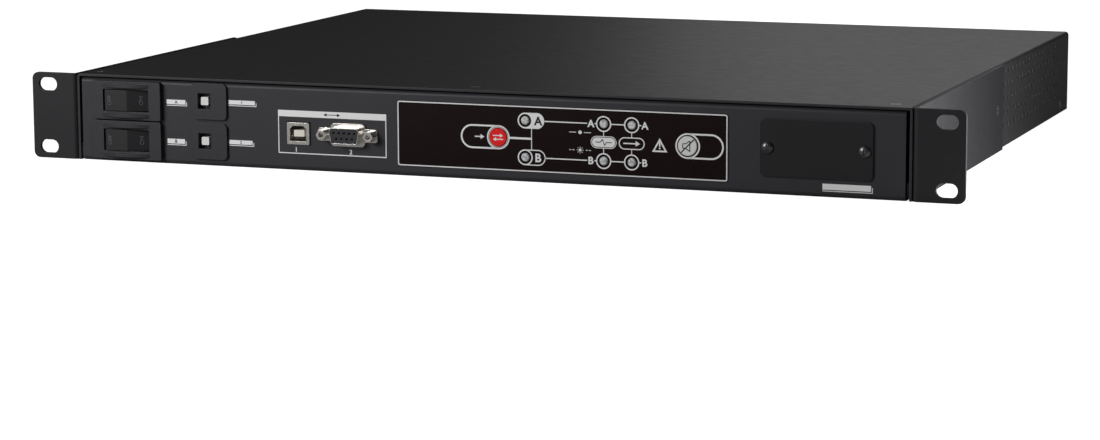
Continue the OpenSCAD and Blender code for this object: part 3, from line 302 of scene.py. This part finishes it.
# Outlines, as lists of (x, z) points


def round_rect(centre_x, centre_z, width, height, radius, steps=6):
    points = []
    corners = ((1, 1, 0), (-1, 1, 90), (-1, -1, 180), (1, -1, 270))
    for side_x, side_z, start in corners:
        hub_x = centre_x + side_x * (width / 2 - radius)
        hub_z = centre_z + side_z * (height / 2 - radius)
        for step in range(steps + 1):
            angle = math.radians(start + 90 * step / steps)
            points.append((hub_x + radius * math.cos(angle), hub_z + radius * math.sin(angle)))
    return points


def pill(centre_x, centre_z, width, height):
    return round_rect(centre_x, centre_z, width, height, height / 2 - 0.001, 14)


def circle(centre_x, centre_z, radius, steps=56):
    turn = 2 * math.pi / steps
    angles = [turn * step for step in range(steps)]
    return [(centre_x + radius * math.cos(angle), centre_z + radius * math.sin(angle)) for angle in angles]


def bar(start, end, width):
    """A straight line of a given width."""
    along = Vector((end[0] - start[0], end[1] - start[1])).normalized() * width / 2
    across = (-along[1], along[0])
    return [
        (start[0] + across[0], start[1] + across[1]),
        (start[0] - across[0], start[1] - across[1]),
        (end[0] - across[0], end[1] - across[1]),
        (end[0] + across[0], end[1] + across[1]),
    ]


BOLD = 0.02  # widening of a letter's strokes, in the font's own unit
EXTRA_BOLD = 0.03


class Print:
    """Thin flat shapes on one face of the object, collected in one piece."""

    def __init__(self, name, face_y, facing, material, slot, body="chassis", lift=0.0, thickness=0.05):
        self.name, self.face_y, self.facing, self.material = name, face_y, facing, material
        self.slot, self.body, self.lift, self.thickness = slot, body, lift, thickness
        self.mesh = bmesh.new()

    def corner(self, point, lift):
        """A vertex above a point of the face."""
        return self.mesh.verts.new(
            (point[0] * MM, self.face_y + self.facing * lift * MM, UNDERSIDE_Z + point[1] * MM)
        )

    def layers(self, outline):
        """An outline's vertices on the underside and on top of the print."""
        low = [self.corner(point, self.lift) for point in outline]
        high = [self.corner(point, self.lift + self.thickness) for point in outline]
        return low, high

    def wall(self, low, high):
        """Faces between two loops."""
        for index in range(len(low)):
            after = (index + 1) % len(low)
            self.mesh.faces.new((low[index], low[after], high[after], high[index]))

    def fill(self, outline):
        """A solid patch of one outline."""
        low, high = self.layers(outline)
        self.mesh.faces.new(low)
        self.mesh.faces.new(high)
        self.wall(low, high)

    def ring(self, outer, inner):
        """A patch between two outlines with as many points each."""
        outer_low, outer_high = self.layers(outer)
        inner_low, inner_high = self.layers(inner)
        self.wall(outer_low, outer_high)
        self.wall(inner_low, inner_high)
        self.wall(outer_low, inner_low)
        self.wall(outer_high, inner_high)

    def line(self, start, end, width):
        self.fill(bar(start, end, width))

    def word(self, text, centre, height, turn=0.0, bold=0.0):
        """Letters or digits in the built-in font, centred on a point."""
        curve = bpy.data.curves.new("word", "FONT")
        curve.body = text
        curve.extrude = 0.5
        curve.offset = bold
        carrier = bpy.data.objects.new("word", curve)
        bpy.context.collection.objects.link(carrier)
        bpy.context.view_layer.update()
        solid = carrier.evaluated_get(bpy.context.evaluated_depsgraph_get())
        shape = bpy.data.meshes.new_from_object(solid)
        low = Vector([min(v.co[axis] for v in shape.vertices) for axis in range(3)])
        high = Vector([max(v.co[axis] for v in shape.vertices) for axis in range(3)])
        size = height * MM / (high[1] - low[1])
        flat = Matrix.Diagonal((size, size, self.thickness * MM / (high[2] - low[2]), 1))
        upright = Matrix.Rotation(math.radians(90), 4, "X")
        facing = Matrix.Rotation(0 if self.facing == FRONT else math.pi, 4, "Z")
        lift = (self.lift + self.thickness / 2) * MM
        place = Matrix.Translation(
            (centre[0] * MM, self.face_y + self.facing * lift, UNDERSIDE_Z + centre[1] * MM)
        )
        spin = Matrix.Rotation(math.radians(turn), 4, "Z")
        shape.transform(place @ facing @ upright @ spin @ flat @ Matrix.Translation(-(low + high) / 2))
        self.mesh.from_mesh(shape)
        bpy.data.objects.remove(carrier)
        bpy.data.curves.remove(curve)
        bpy.data.meshes.remove(shape)

    def turn(self, hinge_x, degrees):
        """Swings the shapes about an upright line on the face."""
        line = Vector((hinge_x * MM, self.face_y, 0))
        swing = Matrix.Rotation(math.radians(degrees), 3, "Z")
        bmesh.ops.rotate(self.mesh, verts=self.mesh.verts, cent=line, matrix=swing)

    def done(self):
        """Closes the shapes and adds the piece to the scene."""
        bmesh.ops.remove_doubles(self.mesh, verts=self.mesh.verts, dist=1e-7)
        bmesh.ops.recalc_face_normals(self.mesh, faces=self.mesh.faces)
        return add_piece(self.name, self.mesh, self.material, self.body)


def add_piece(name, made, material, body):
    """Turns a bmesh into an object that rides on a body."""
    data = bpy.data.meshes.new(name)
    made.to_mesh(data)
    made.free()
    data.materials.append(material)
    piece = bpy.data.objects.new(name, data)
    bpy.context.collection.objects.link(piece)
    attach(piece, body)
    return piece


# Front panel print

# Strips: left, right, lower and upper edge, and the mark of the switch, breaker or card slot beside it
LABELS = (
    (-165.6, -155.2, 30.2, 32.5, "A"),
    (-165.6, -155.9, 10.4, 12.8, "B"),
    (-131.4, -117.0, 31.4, 33.5, "1"),
    (-131.4, -118.6, 11.5, 13.6, "2"),
    (173.6, 196.9, 3.7, 6.5, None),
)
PORT_FRAME = (-104.5, 8.3, -46.5, 29.8)
PORT_HEADER_H = 3.15
PORT_DIGIT_X = {"1": -94.9, "2": -65.5}
PORT_DIGIT_Z, PORT_DIGIT_H = 10.4, 2.3


def label(white, black, left, right, low, high, text):
    """White strip with a thin line offset to its lower right, and a letter or digit on it."""
    line, gap, letter_share, short = 0.35, 0.45, 0.74, 1.0
    under_z, beside_x = low - gap - line / 2, right + gap + line / 2
    white.fill(round_rect((left + right) / 2, (low + high) / 2, right - left, high - low, 0.05, 1))
    white.line((left, under_z), (right + gap + line, under_z), line)
    white.line((beside_x, low - gap), (beside_x, high - short), line)
    if text:
        black.word(text, ((left + right) / 2, (low + high) / 2), (high - low) * letter_share, bold=BOLD)


def port_frame(white, black):
    """Outline around the two ports, with a solid header and a digit under each port."""
    left, low, right, high = PORT_FRAME
    mid_x, mid_z = (left + right) / 2, (low + high) / 2
    width, height, line = right - left, high - low, 0.5
    opening_z, opening_h = mid_z - (PORT_HEADER_H - line) / 2, height - PORT_HEADER_H - line
    white.ring(
        round_rect(mid_x, mid_z, width, height, 0.1, 1),
        round_rect(mid_x, opening_z, width - 2 * line, opening_h, 0.1, 1),
    )
    two_way_arrow(black, mid_x, high - PORT_HEADER_H / 2, 9.0, 1.7)
    for digit, x in PORT_DIGIT_X.items():
        white.word(digit, (x, PORT_DIGIT_Z), PORT_DIGIT_H, bold=BOLD)


def front_print():
    """Labels of the front panel and the outline of its ports."""
    white = Print("front_print", PANEL_Y, FRONT, WHITE_INK, "panel_powder")
    black = Print("front_marks", PANEL_Y, FRONT, BLACK_INK, "panel_powder", lift=0.05, thickness=0.02)
    for left, right, low, high, text in LABELS:
        label(white, black, left, right, low, high, text)
    port_frame(white, black)
    white.done()
    black.done()


def arrow(mark, tail, tip, width, head):
    """Straight arrow with a triangular head."""
    along = Vector((tip[0] - tail[0], tip[1] - tail[1])).normalized()
    across = Vector((-along[1], along[0]))
    neck = Vector(tip) - along * head
    mark.line(tail, tuple(neck), width)
    mark.fill([tuple(neck + across * head * 0.6), tuple(neck - across * head * 0.6), tip])


def two_way_arrow(mark, x, z, length, head):
    """Horizontal arrow with a head at both ends."""
    mark.line((x - length / 2 + head, z), (x + length / 2 - head, z), 0.35)
    for side in (-1, 1):
        neck = x + side * (length / 2 - head)
        mark.fill([(neck, z - head / 2), (neck, z + head / 2), (x + side * length / 2, z)])


# Display overlay print

LED_HIGH_Z, LED_LOW_Z, BUTTON_Z = 29.9, 12.1, 21.2
INPUT_LED_X, STATUS_LED_X, OUTPUT_LED_X = 26.0, 65.9, 80.0
SELECT_X, MUTE_X = 12.2, 107.9
SELECT_RING_R, MUTE_RING_R = 5.85, 6.1
LED_RING_R, LED_HOLE_R = 3.85, 3.2
INPUT_LETTER_X, LEGEND_X, ROW_LETTER_H = 32.7, 54.0, 3.6
THIN, MEDIUM, THICK = 0.4, 0.55, 1.0


def led_ring(white, x, z):
    """Ring around an indicator."""
    white.ring(circle(x, z, LED_RING_R), circle(x, z, LED_HOLE_R))


def open_pill(white, centre_x, centre_z, width, height, line):
    """Outline with round ends."""
    outer = pill(centre_x, centre_z, width, height)
    inner = pill(centre_x, centre_z, width - 2 * line, height - 2 * line)
    white.ring(outer, inner)


def overlay_edge(white):
    """Round-cornered line along the overlay's edge."""
    low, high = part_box("display_overlay")
    mid_x, mid_z = (low[0] + high[0]) / 2 / MM, ((low[2] + high[2]) / 2 - UNDERSIDE_Z) / MM
    margin, line = 0.15, 0.55
    width, height = (high[0] - low[0]) / MM - 2 * margin, (high[2] - low[2]) / MM - 2 * margin
    white.ring(
        round_rect(mid_x, mid_z, width, height, 1.0),
        round_rect(mid_x, mid_z, width - 2 * line, height - 2 * line, 0.6),
    )


def button_rings(white):
    """Rings around the two buttons, each with an open pill that grows out of it."""
    line = 0.85
    white.ring(circle(SELECT_X, BUTTON_Z, SELECT_RING_R), circle(SELECT_X, BUTTON_Z, 5.2))
    white.ring(circle(SELECT_X, BUTTON_Z, 4.98), circle(SELECT_X, BUTTON_Z, 4.75))
    side_pill(white, SELECT_X, BUTTON_Z, SELECT_RING_R, -13.6, line)
    white.ring(circle(MUTE_X, BUTTON_Z, MUTE_RING_R), circle(MUTE_X, BUTTON_Z, 5.35))
    side_pill(white, MUTE_X, BUTTON_Z, MUTE_RING_R, 11.7, line)


def input_marks(white, black):
    """The two input indicators with their letters, and the fork from the select button to them."""
    pill_w, pill_h, fork_x = 13.6, 7.7, 29.3
    solid_pill(white, INPUT_LED_X + 3.0, LED_HIGH_Z, pill_w, pill_h, INPUT_LED_X, 3.15)
    led_ring(white, INPUT_LED_X, LED_LOW_Z)
    side_pill(white, INPUT_LED_X, LED_LOW_Z, LED_RING_R, 6.6, 0.5)
    black.word("A", (INPUT_LETTER_X, LED_HIGH_Z), 4.3, bold=EXTRA_BOLD)
    white.word("B", (INPUT_LETTER_X, LED_LOW_Z), 4.2, bold=EXTRA_BOLD)
    white.line((SELECT_X + SELECT_RING_R, BUTTON_Z), (fork_x + THIN / 2, BUTTON_Z), THICK)
    white.line((fork_x, BUTTON_Z + THICK / 2), (fork_x, LED_HIGH_Z - pill_h / 2), THIN)
    white.line((fork_x, BUTTON_Z - THICK / 2), (fork_x, LED_LOW_Z + LED_RING_R), THIN)


def diagram_row(white, letter, z):
    """Line from an input through its status indicator to its output indicator."""
    white.line((35.9, z), (57.6, z), MEDIUM)
    white.word(letter, (59.5, z), ROW_LETTER_H, bold=EXTRA_BOLD)
    white.line((61.3, z), (STATUS_LED_X - LED_RING_R, z), MEDIUM)
    led_ring(white, STATUS_LED_X, z)
    white.line((STATUS_LED_X + LED_RING_R, z), (OUTPUT_LED_X - LED_RING_R, z), MEDIUM)
    led_ring(white, OUTPUT_LED_X, z)
    white.line((OUTPUT_LED_X + LED_RING_R, z), (84.8, z), MEDIUM)
    white.word(letter, (86.6, z), ROW_LETTER_H, bold=EXTRA_BOLD)


def column_marks(white, black):
    """Pills between the indicators of a column: a pulse for status, an arrow for output."""
    mid, pill_w, pill_h = BUTTON_Z - 0.1, 13.0, 5.9
    for x in (STATUS_LED_X, OUTPUT_LED_X):
        white.line((x, LED_HIGH_Z - LED_RING_R), (x, mid + pill_h / 2), THIN)
        white.line((x, LED_LOW_Z + LED_RING_R), (x, mid - pill_h / 2), THIN)
    white.fill(pill(STATUS_LED_X, mid, pill_w - 1.4, pill_h - 1.4))
    open_pill(white, STATUS_LED_X, mid, pill_w, pill_h, 0.35)
    open_pill(white, OUTPUT_LED_X, mid, pill_w, pill_h, 0.5)
    pulse_mark(black, STATUS_LED_X, mid, 8.0)
    arrow(white, (OUTPUT_LED_X - 4.2, mid), (OUTPUT_LED_X + 4.2, mid), 0.6, 2.2)


def fault_mark(white, x, z):
    """Triangle with an upright bar and a dot in it."""
    triangle(white, x, z, 7.6, 0.75)
    white.fill(round_rect(x, z + 0.3, 0.75, 2.2, 0.3, 3))
    white.fill(circle(x, z - 1.55, 0.45, 20))


def overlay_print():
    """The diagram on the display overlay."""
    white = Print("overlay_print", OVERLAY_Y, FRONT, WHITE_INK, "overlay_film")
    black = Print("overlay_marks", OVERLAY_Y, FRONT, BLACK_INK, "overlay_film", lift=0.05, thickness=0.02)
    overlay_edge(white)
    button_rings(white)
    input_marks(white, black)
    diagram_row(white, "A", LED_HIGH_Z)
    diagram_row(white, "B", LED_LOW_Z)
    column_marks(white, black)
    steady_mark(white, LEGEND_X, 25.4)
    flashing_mark(white, LEGEND_X, 16.9)
    fault_mark(white, 94.0, 21.0)
    arrow(white, (SELECT_X - 12.2, BUTTON_Z), (SELECT_X - 7.2, BUTTON_Z), 0.6, 2.0)
    white.done()
    black.done()


def side_pill(white, hub_x, hub_z, radius, reach, line):
    """Open half of a pill that starts at a ring and ends in a half circle `reach` away."""
    side = 1 if reach > 0 else -1
    end_x = hub_x + reach
    start_x = hub_x + side * 0.2
    inner_r = radius - line
    outer, inner = [], []
    steps = 20
    for step in range(steps + 1):
        angle = math.radians(90 - 180 * step / steps)
        outer.append((end_x + side * radius * math.cos(angle), hub_z + radius * math.sin(angle)))
        inner.append((end_x + side * inner_r * math.cos(angle), hub_z + inner_r * math.sin(angle)))
    meet_x = hub_x + side * math.sqrt(radius**2 - inner_r**2)
    outline = [(start_x, hub_z + radius)] + outer + [(start_x, hub_z - radius)]
    outline += [(meet_x, hub_z - inner_r)] + inner[::-1] + [(meet_x, hub_z + inner_r)]
    white.fill(outline)


def solid_pill(white, centre_x, centre_z, width, height, hole_x, hole_r):
    """Filled pill with a round hole."""
    steps = 56
    outer, inner = [], []
    half = width / 2 - height / 2
    for step in range(steps):
        angle = 2 * math.pi * step / steps
        way = math.cos(angle)
        hub = centre_x + (half if way > 0 else -half)
        outer.append((hub + height / 2 * way, centre_z + height / 2 * math.sin(angle)))
        inner.append((hole_x + hole_r * way, centre_z + hole_r * math.sin(angle)))
    white.ring(outer, inner)


def triangle(white, x, z, side, line):
    """Outline of a triangle with equal sides."""
    height = side * 0.87
    loops = []
    for inset in (0.0, line):
        half = side / 2 - inset * 1.75
        base_z = z - height / 2 + inset
        loops.append([(x, z + height / 2 - inset * 2), (x - half, base_z), (x + half, base_z)])
    white.ring(*loops)


def pulse_mark(mark, x, z, width):
    """Level line with one beat in it."""
    step = width / 8
    points = [(-4, 0), (-1.6, 0), (-0.6, 1.5), (0.5, -1.5), (1.4, 0), (4, 0)]
    for first, second in zip(points, points[1:]):
        mark.line((x + first[0] * step, z + first[1]), (x + second[0] * step, z + second[1]), 0.4)


def steady_mark(mark, x, z):
    """A dot on a broken line: a light that stays on."""
    mark.fill(circle(x, z, 0.9, 24))
    mark.line((x - 5.5, z), (x - 2.0, z), 0.35)
    mark.line((x + 2.0, z), (x + 5.5, z), 0.35)


def flashing_mark(mark, x, z):
    """A dot with rays on a dashed line: a light that flashes."""
    mark.fill(circle(x, z, 0.7, 24))
    for step in range(8):
        angle = math.pi / 4 * step
        way = (math.cos(angle), math.sin(angle))
        mark.line(*[(x + way[0] * reach, z + way[1] * reach) for reach in (1.05, 1.7)], 0.25)
    for offset in (-5.0, -3.4, 3.4, 5.0):
        mark.line((x + offset - 0.5, z), (x + offset + 0.5, z), 0.35)


def select_mark():
    """Two opposite arrows on the select cap."""
    face_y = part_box("select_button")[0][1]
    mark = Print("select_mark", face_y, FRONT, WHITE_INK, "red_plastic", body="select_cap", thickness=0.03)
    arrow(mark, (SELECT_X - 2.6, BUTTON_Z + 0.9), (SELECT_X + 2.6, BUTTON_Z + 0.9), 0.5, 1.6)
    arrow(mark, (SELECT_X + 2.6, BUTTON_Z - 0.9), (SELECT_X - 2.6, BUTTON_Z - 0.9), 0.5, 1.6)
    mark.done()


def mute_mark():
    """Crossed-out loudspeaker on the mute cap."""
    face_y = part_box("mute_button")[0][1]
    mark = Print("mute_mark", face_y, FRONT, BLACK_INK, "white_plastic", body="mute_cap", thickness=0.03)
    box_left, box_right, box_half, horn_half, horn_right = -2.3, -0.9, 1.1, 2.5, 1.2
    points = [(box_left, -box_half), (box_left, box_half), (box_right, box_half), (horn_right, horn_half),
              (horn_right, -horn_half), (box_right, -box_half)]
    for first, second in zip(points, points[1:] + points[:1]):
        start, end = [(MUTE_X + point[0], BUTTON_Z + point[1]) for point in (first, second)]
        mark.line(start, end, 0.45)
    mark.line((MUTE_X - 3.2, BUTTON_Z - 3.2), (MUTE_X + 3.2, BUTTON_Z + 3.2), 0.6)
    mark.done()


# Rear print

# Outlines of the outlet banks: left, low, right and high edge
BANK_FRAMES = {"3": (32.1, 0.9, 132.6, 39.3), "2": (-69.6, 0.9, 31.4, 39.3)}
# Outlines of the large outlet and the inlets: the edges, then the middle and width of the gap for the mark
SINGLE_FRAMES = {
    "1": (-127.7, 1.8, -74.1, 39.5, -100.9, 6.0),
    "A": (-167.3, 1.5, -128.4, 39.7, -145.0, 7.0),
    "B": (-207.8, 1.5, -169.1, 39.7, -186.0, 7.0),
}
SINGLE_SINE_X, SINGLE_SINE_Z = (-123.0, -162.5, -203.0), 21.2
TERMINAL_DIGIT_X, TERMINAL_DIGIT_Z = {"1": 189.8, "8": 154.7}, 31.6
REAR_DIGIT_H = 2.7


def rear_frame(white, left, low, right, high, gap_x, gap_w, top=True, radius=2.4, line=0.55):
    """Round-cornered outline with a gap for its label on the top or the bottom line."""
    steps = 8
    mid_x, mid_z = (left + right) / 2, (low + high) / 2
    outer = round_rect(mid_x, mid_z, right - left, high - low, radius, steps)
    inner = round_rect(mid_x, mid_z, right - left - 2 * line, high - low - 2 * line, radius - line, steps)
    seam = steps if top else 3 * steps + 2
    loop_outer = outer[seam + 1:] + outer[: seam + 1]
    loop_inner = inner[seam + 1:] + inner[: seam + 1]
    edge_z = high if top else low
    inside = -line if top else line
    first, last = (gap_x - gap_w / 2, gap_x + gap_w / 2) if top else (gap_x + gap_w / 2, gap_x - gap_w / 2)
    path = loop_outer + [(last, edge_z), (last, edge_z + inside)] + loop_inner[::-1]
    white.fill(path + [(first, edge_z + inside), (first, edge_z)])


def bank_frame(white, black, digit, left, low, right, high):
    """Outline of an outlet bank, with a tag and the bank's digit in its top line."""
    tag_w, tag_h, digit_room = 15.6, 3.4, 8.0
    mid = (left + right) / 2
    tag_x, tag_z = mid - digit_room / 2, high - 0.1
    rear_frame(white, left, low, right, high, mid, tag_w + digit_room + 2)
    white.word(digit, (mid + tag_w / 2 + 1.0, high - 0.3), REAR_DIGIT_H, bold=BOLD)
    white.fill(round_rect(tag_x, tag_z, tag_w, tag_h, 0.1, 1))
    sine_mark(black, tag_x, tag_z, 3.2)


def rear_print():
    """Outlines and marks of the rear panel."""
    white = Print("rear_print", REAR_PANEL_Y, REAR, WHITE_INK, "black_powder")
    black = Print("rear_marks", REAR_PANEL_Y, REAR, BLACK_INK, "black_powder", lift=0.05, thickness=0.02)
    for digit, edges in BANK_FRAMES.items():
        bank_frame(white, black, digit, *edges)
    for mark, (left, low, right, high, gap_x, gap_w) in SINGLE_FRAMES.items():
        on_top = mark != "1"
        rear_frame(white, left, low, right, high, gap_x, gap_w, top=on_top)
        white.word(mark, (gap_x, high - 0.3 if on_top else low + 0.2), REAR_DIGIT_H, bold=BOLD)
    for x in SINGLE_SINE_X:
        sine_mark(white, x, SINGLE_SINE_Z, 4.6)
    for digit, x in TERMINAL_DIGIT_X.items():
        white.word(digit, (x, TERMINAL_DIGIT_Z), 2.4, bold=BOLD)
    white.done()
    black.done()


def sine_mark(mark, x, z, width):
    """The sign for alternating current."""
    steps = 14
    line = 0.4
    upper, lower = [], []
    for step in range(steps + 1):
        way = step / steps
        height = width * 0.2 * math.sin(2 * math.pi * way)
        upper.append((x + width * (way - 0.5), z - height + line / 2))
        lower.append((x + width * (way - 0.5), z - height - line / 2))
    mark.fill(upper + lower[::-1])


# Switches

SWITCH_Z = {"a": 31.25, "b": 11.2}
ROCKER_WORD_X = {"OFF": -195.9, "ON": -179.0}
ROCKER_CREST_X, ON_HALF_SLOPE = -186.43, 20


def rocker_words():
    """ON and OFF, raised on the two halves of each rocker; the ON half slopes away from the crest."""
    for letter, z in SWITCH_Z.items():
        face_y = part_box("switch_%s_rocker" % letter)[0][1]
        body = "rocker_" + letter
        for text, x in ROCKER_WORD_X.items():
            name = "rocker_%s_%s" % (text.lower(), letter)
            raised = Print(name, face_y, FRONT, RAISED_MARK, "rocker_plastic", body, thickness=0.1)
            raised.word(text, (x, z), 2.2, turn=90, bold=EXTRA_BOLD)
            if text == "ON":
                raised.turn(ROCKER_CREST_X, ON_HALF_SLOPE)
            raised.done()


front_print()
overlay_print()
select_mark()
mute_mark()
rear_print()
rocker_words()


# Stage, light and camera; places are in metres

FLOOR_GLOW = 0.93
WORLD_LIGHT = 0.055
FLOOR_DROP = 0.0001

def camera_split(tree, seen, other):
    """A value for camera rays and another for all other rays."""
    light_path = tree.nodes.new("ShaderNodeLightPath")
    made = tree.nodes.new("ShaderNodeMapRange")
    made.inputs["To Min"].default_value = other
    made.inputs["To Max"].default_value = seen
    tree.links.new(light_path.outputs["Is Camera Ray"], made.inputs["Value"])
    return made.outputs[0]


def floor_material():
    """Plain white that stays white to the camera and keeps a soft shadow."""
    made = bpy.data.materials.new("floor_white")
    made.use_nodes = True
    tree = made.node_tree
    tree.nodes.clear()
    diffuse = tree.nodes.new("ShaderNodeBsdfDiffuse")
    diffuse.inputs["Color"].default_value = colour(0.6, 0.6, 0.6)
    glow = tree.nodes.new("ShaderNodeEmission")
    tree.links.new(camera_split(tree, FLOOR_GLOW, 0.0), glow.inputs["Strength"])
    total = tree.nodes.new("ShaderNodeAddShader")
    output = tree.nodes.new("ShaderNodeOutputMaterial")
    tree.links.new(diffuse.outputs[0], total.inputs[0])
    tree.links.new(glow.outputs[0], total.inputs[1])
    tree.links.new(total.outputs[0], output.inputs["Surface"])
    return made


def add_floor():
    """A wide floor just under the object."""
    made = bmesh.new()
    bmesh.ops.create_grid(made, x_segments=1, y_segments=1, size=20)
    data = bpy.data.meshes.new("floor")
    made.to_mesh(data)
    made.free()
    data.materials.append(floor_material())
    floor = bpy.data.objects.new("floor", data)
    floor.location = (0, 0, UNDERSIDE_Z - FLOOR_DROP)
    bpy.context.collection.objects.link(floor)


def add_world():
    """White all around for the camera, and a faint even light for the object."""
    world = bpy.data.worlds.new("studio")
    bpy.context.scene.world = world
    world.use_nodes = True
    tree = world.node_tree
    background = tree.nodes["Background"]
    background.inputs["Color"].default_value = colour(1, 1, 1)
    tree.links.new(camera_split(tree, 1.0, WORLD_LIGHT), background.inputs["Strength"])


def add_lamp(name, place, target, size, power):
    """A rectangular lamp that faces its target."""
    data = bpy.data.lights.new(name, "AREA")
    data.shape = "RECTANGLE"
    data.size, data.size_y = size
    data.energy = power
    lamp = bpy.data.objects.new(name, data)
    lamp.location = place
    lamp.rotation_euler = (Vector(target) - Vector(place)).to_track_quat("-Z", "Y").to_euler()
    bpy.context.collection.objects.link(lamp)


def add_camera():
    """Long lens, to the right of the unit and a little above it."""
    turn, tilt, roll = 0.3542, 0.1603, 0.0034
    away, ear_face_y = Vector((0.0361, -1.5642, -0.0196)), -0.002
    data = bpy.data.cameras.new("camera")
    data.sensor_width = 36
    data.lens = 105.8
    camera = bpy.data.objects.new("camera", data)
    heading = Matrix.Rotation(turn, 4, "Z") @ Matrix.Rotation(-tilt, 4, "X") @ Matrix.Rotation(roll, 4, "Y")
    upright = Matrix.Rotation(math.radians(90), 4, "X")
    place = heading @ away + Vector((0, ear_face_y, UNDERSIDE_Z))
    camera.matrix_world = Matrix.Translation(place) @ heading @ upright
    bpy.context.collection.objects.link(camera)
    bpy.context.scene.camera = camera


add_floor()
add_world()
add_lamp("key", (-0.62, -0.8, 0.42), (-0.2, 0, 0), (0.5, 0.4), 8)
add_lamp("right", (0.4, 0.07, 0.03), (0.22, 0.06, 0), (0.12, 0.05), 0.95)
add_lamp("back", (-0.02, 1.1, 0.4), (0.14, 0.2, 0), (0.5, 0.4), 0.68)
add_lamp("rear", (0, 1.0, 0), (0, 0.4, 0), (0.35, 0.03), 2.2)
add_camera()
bpy.context.scene.view_settings.view_transform = "Standard"
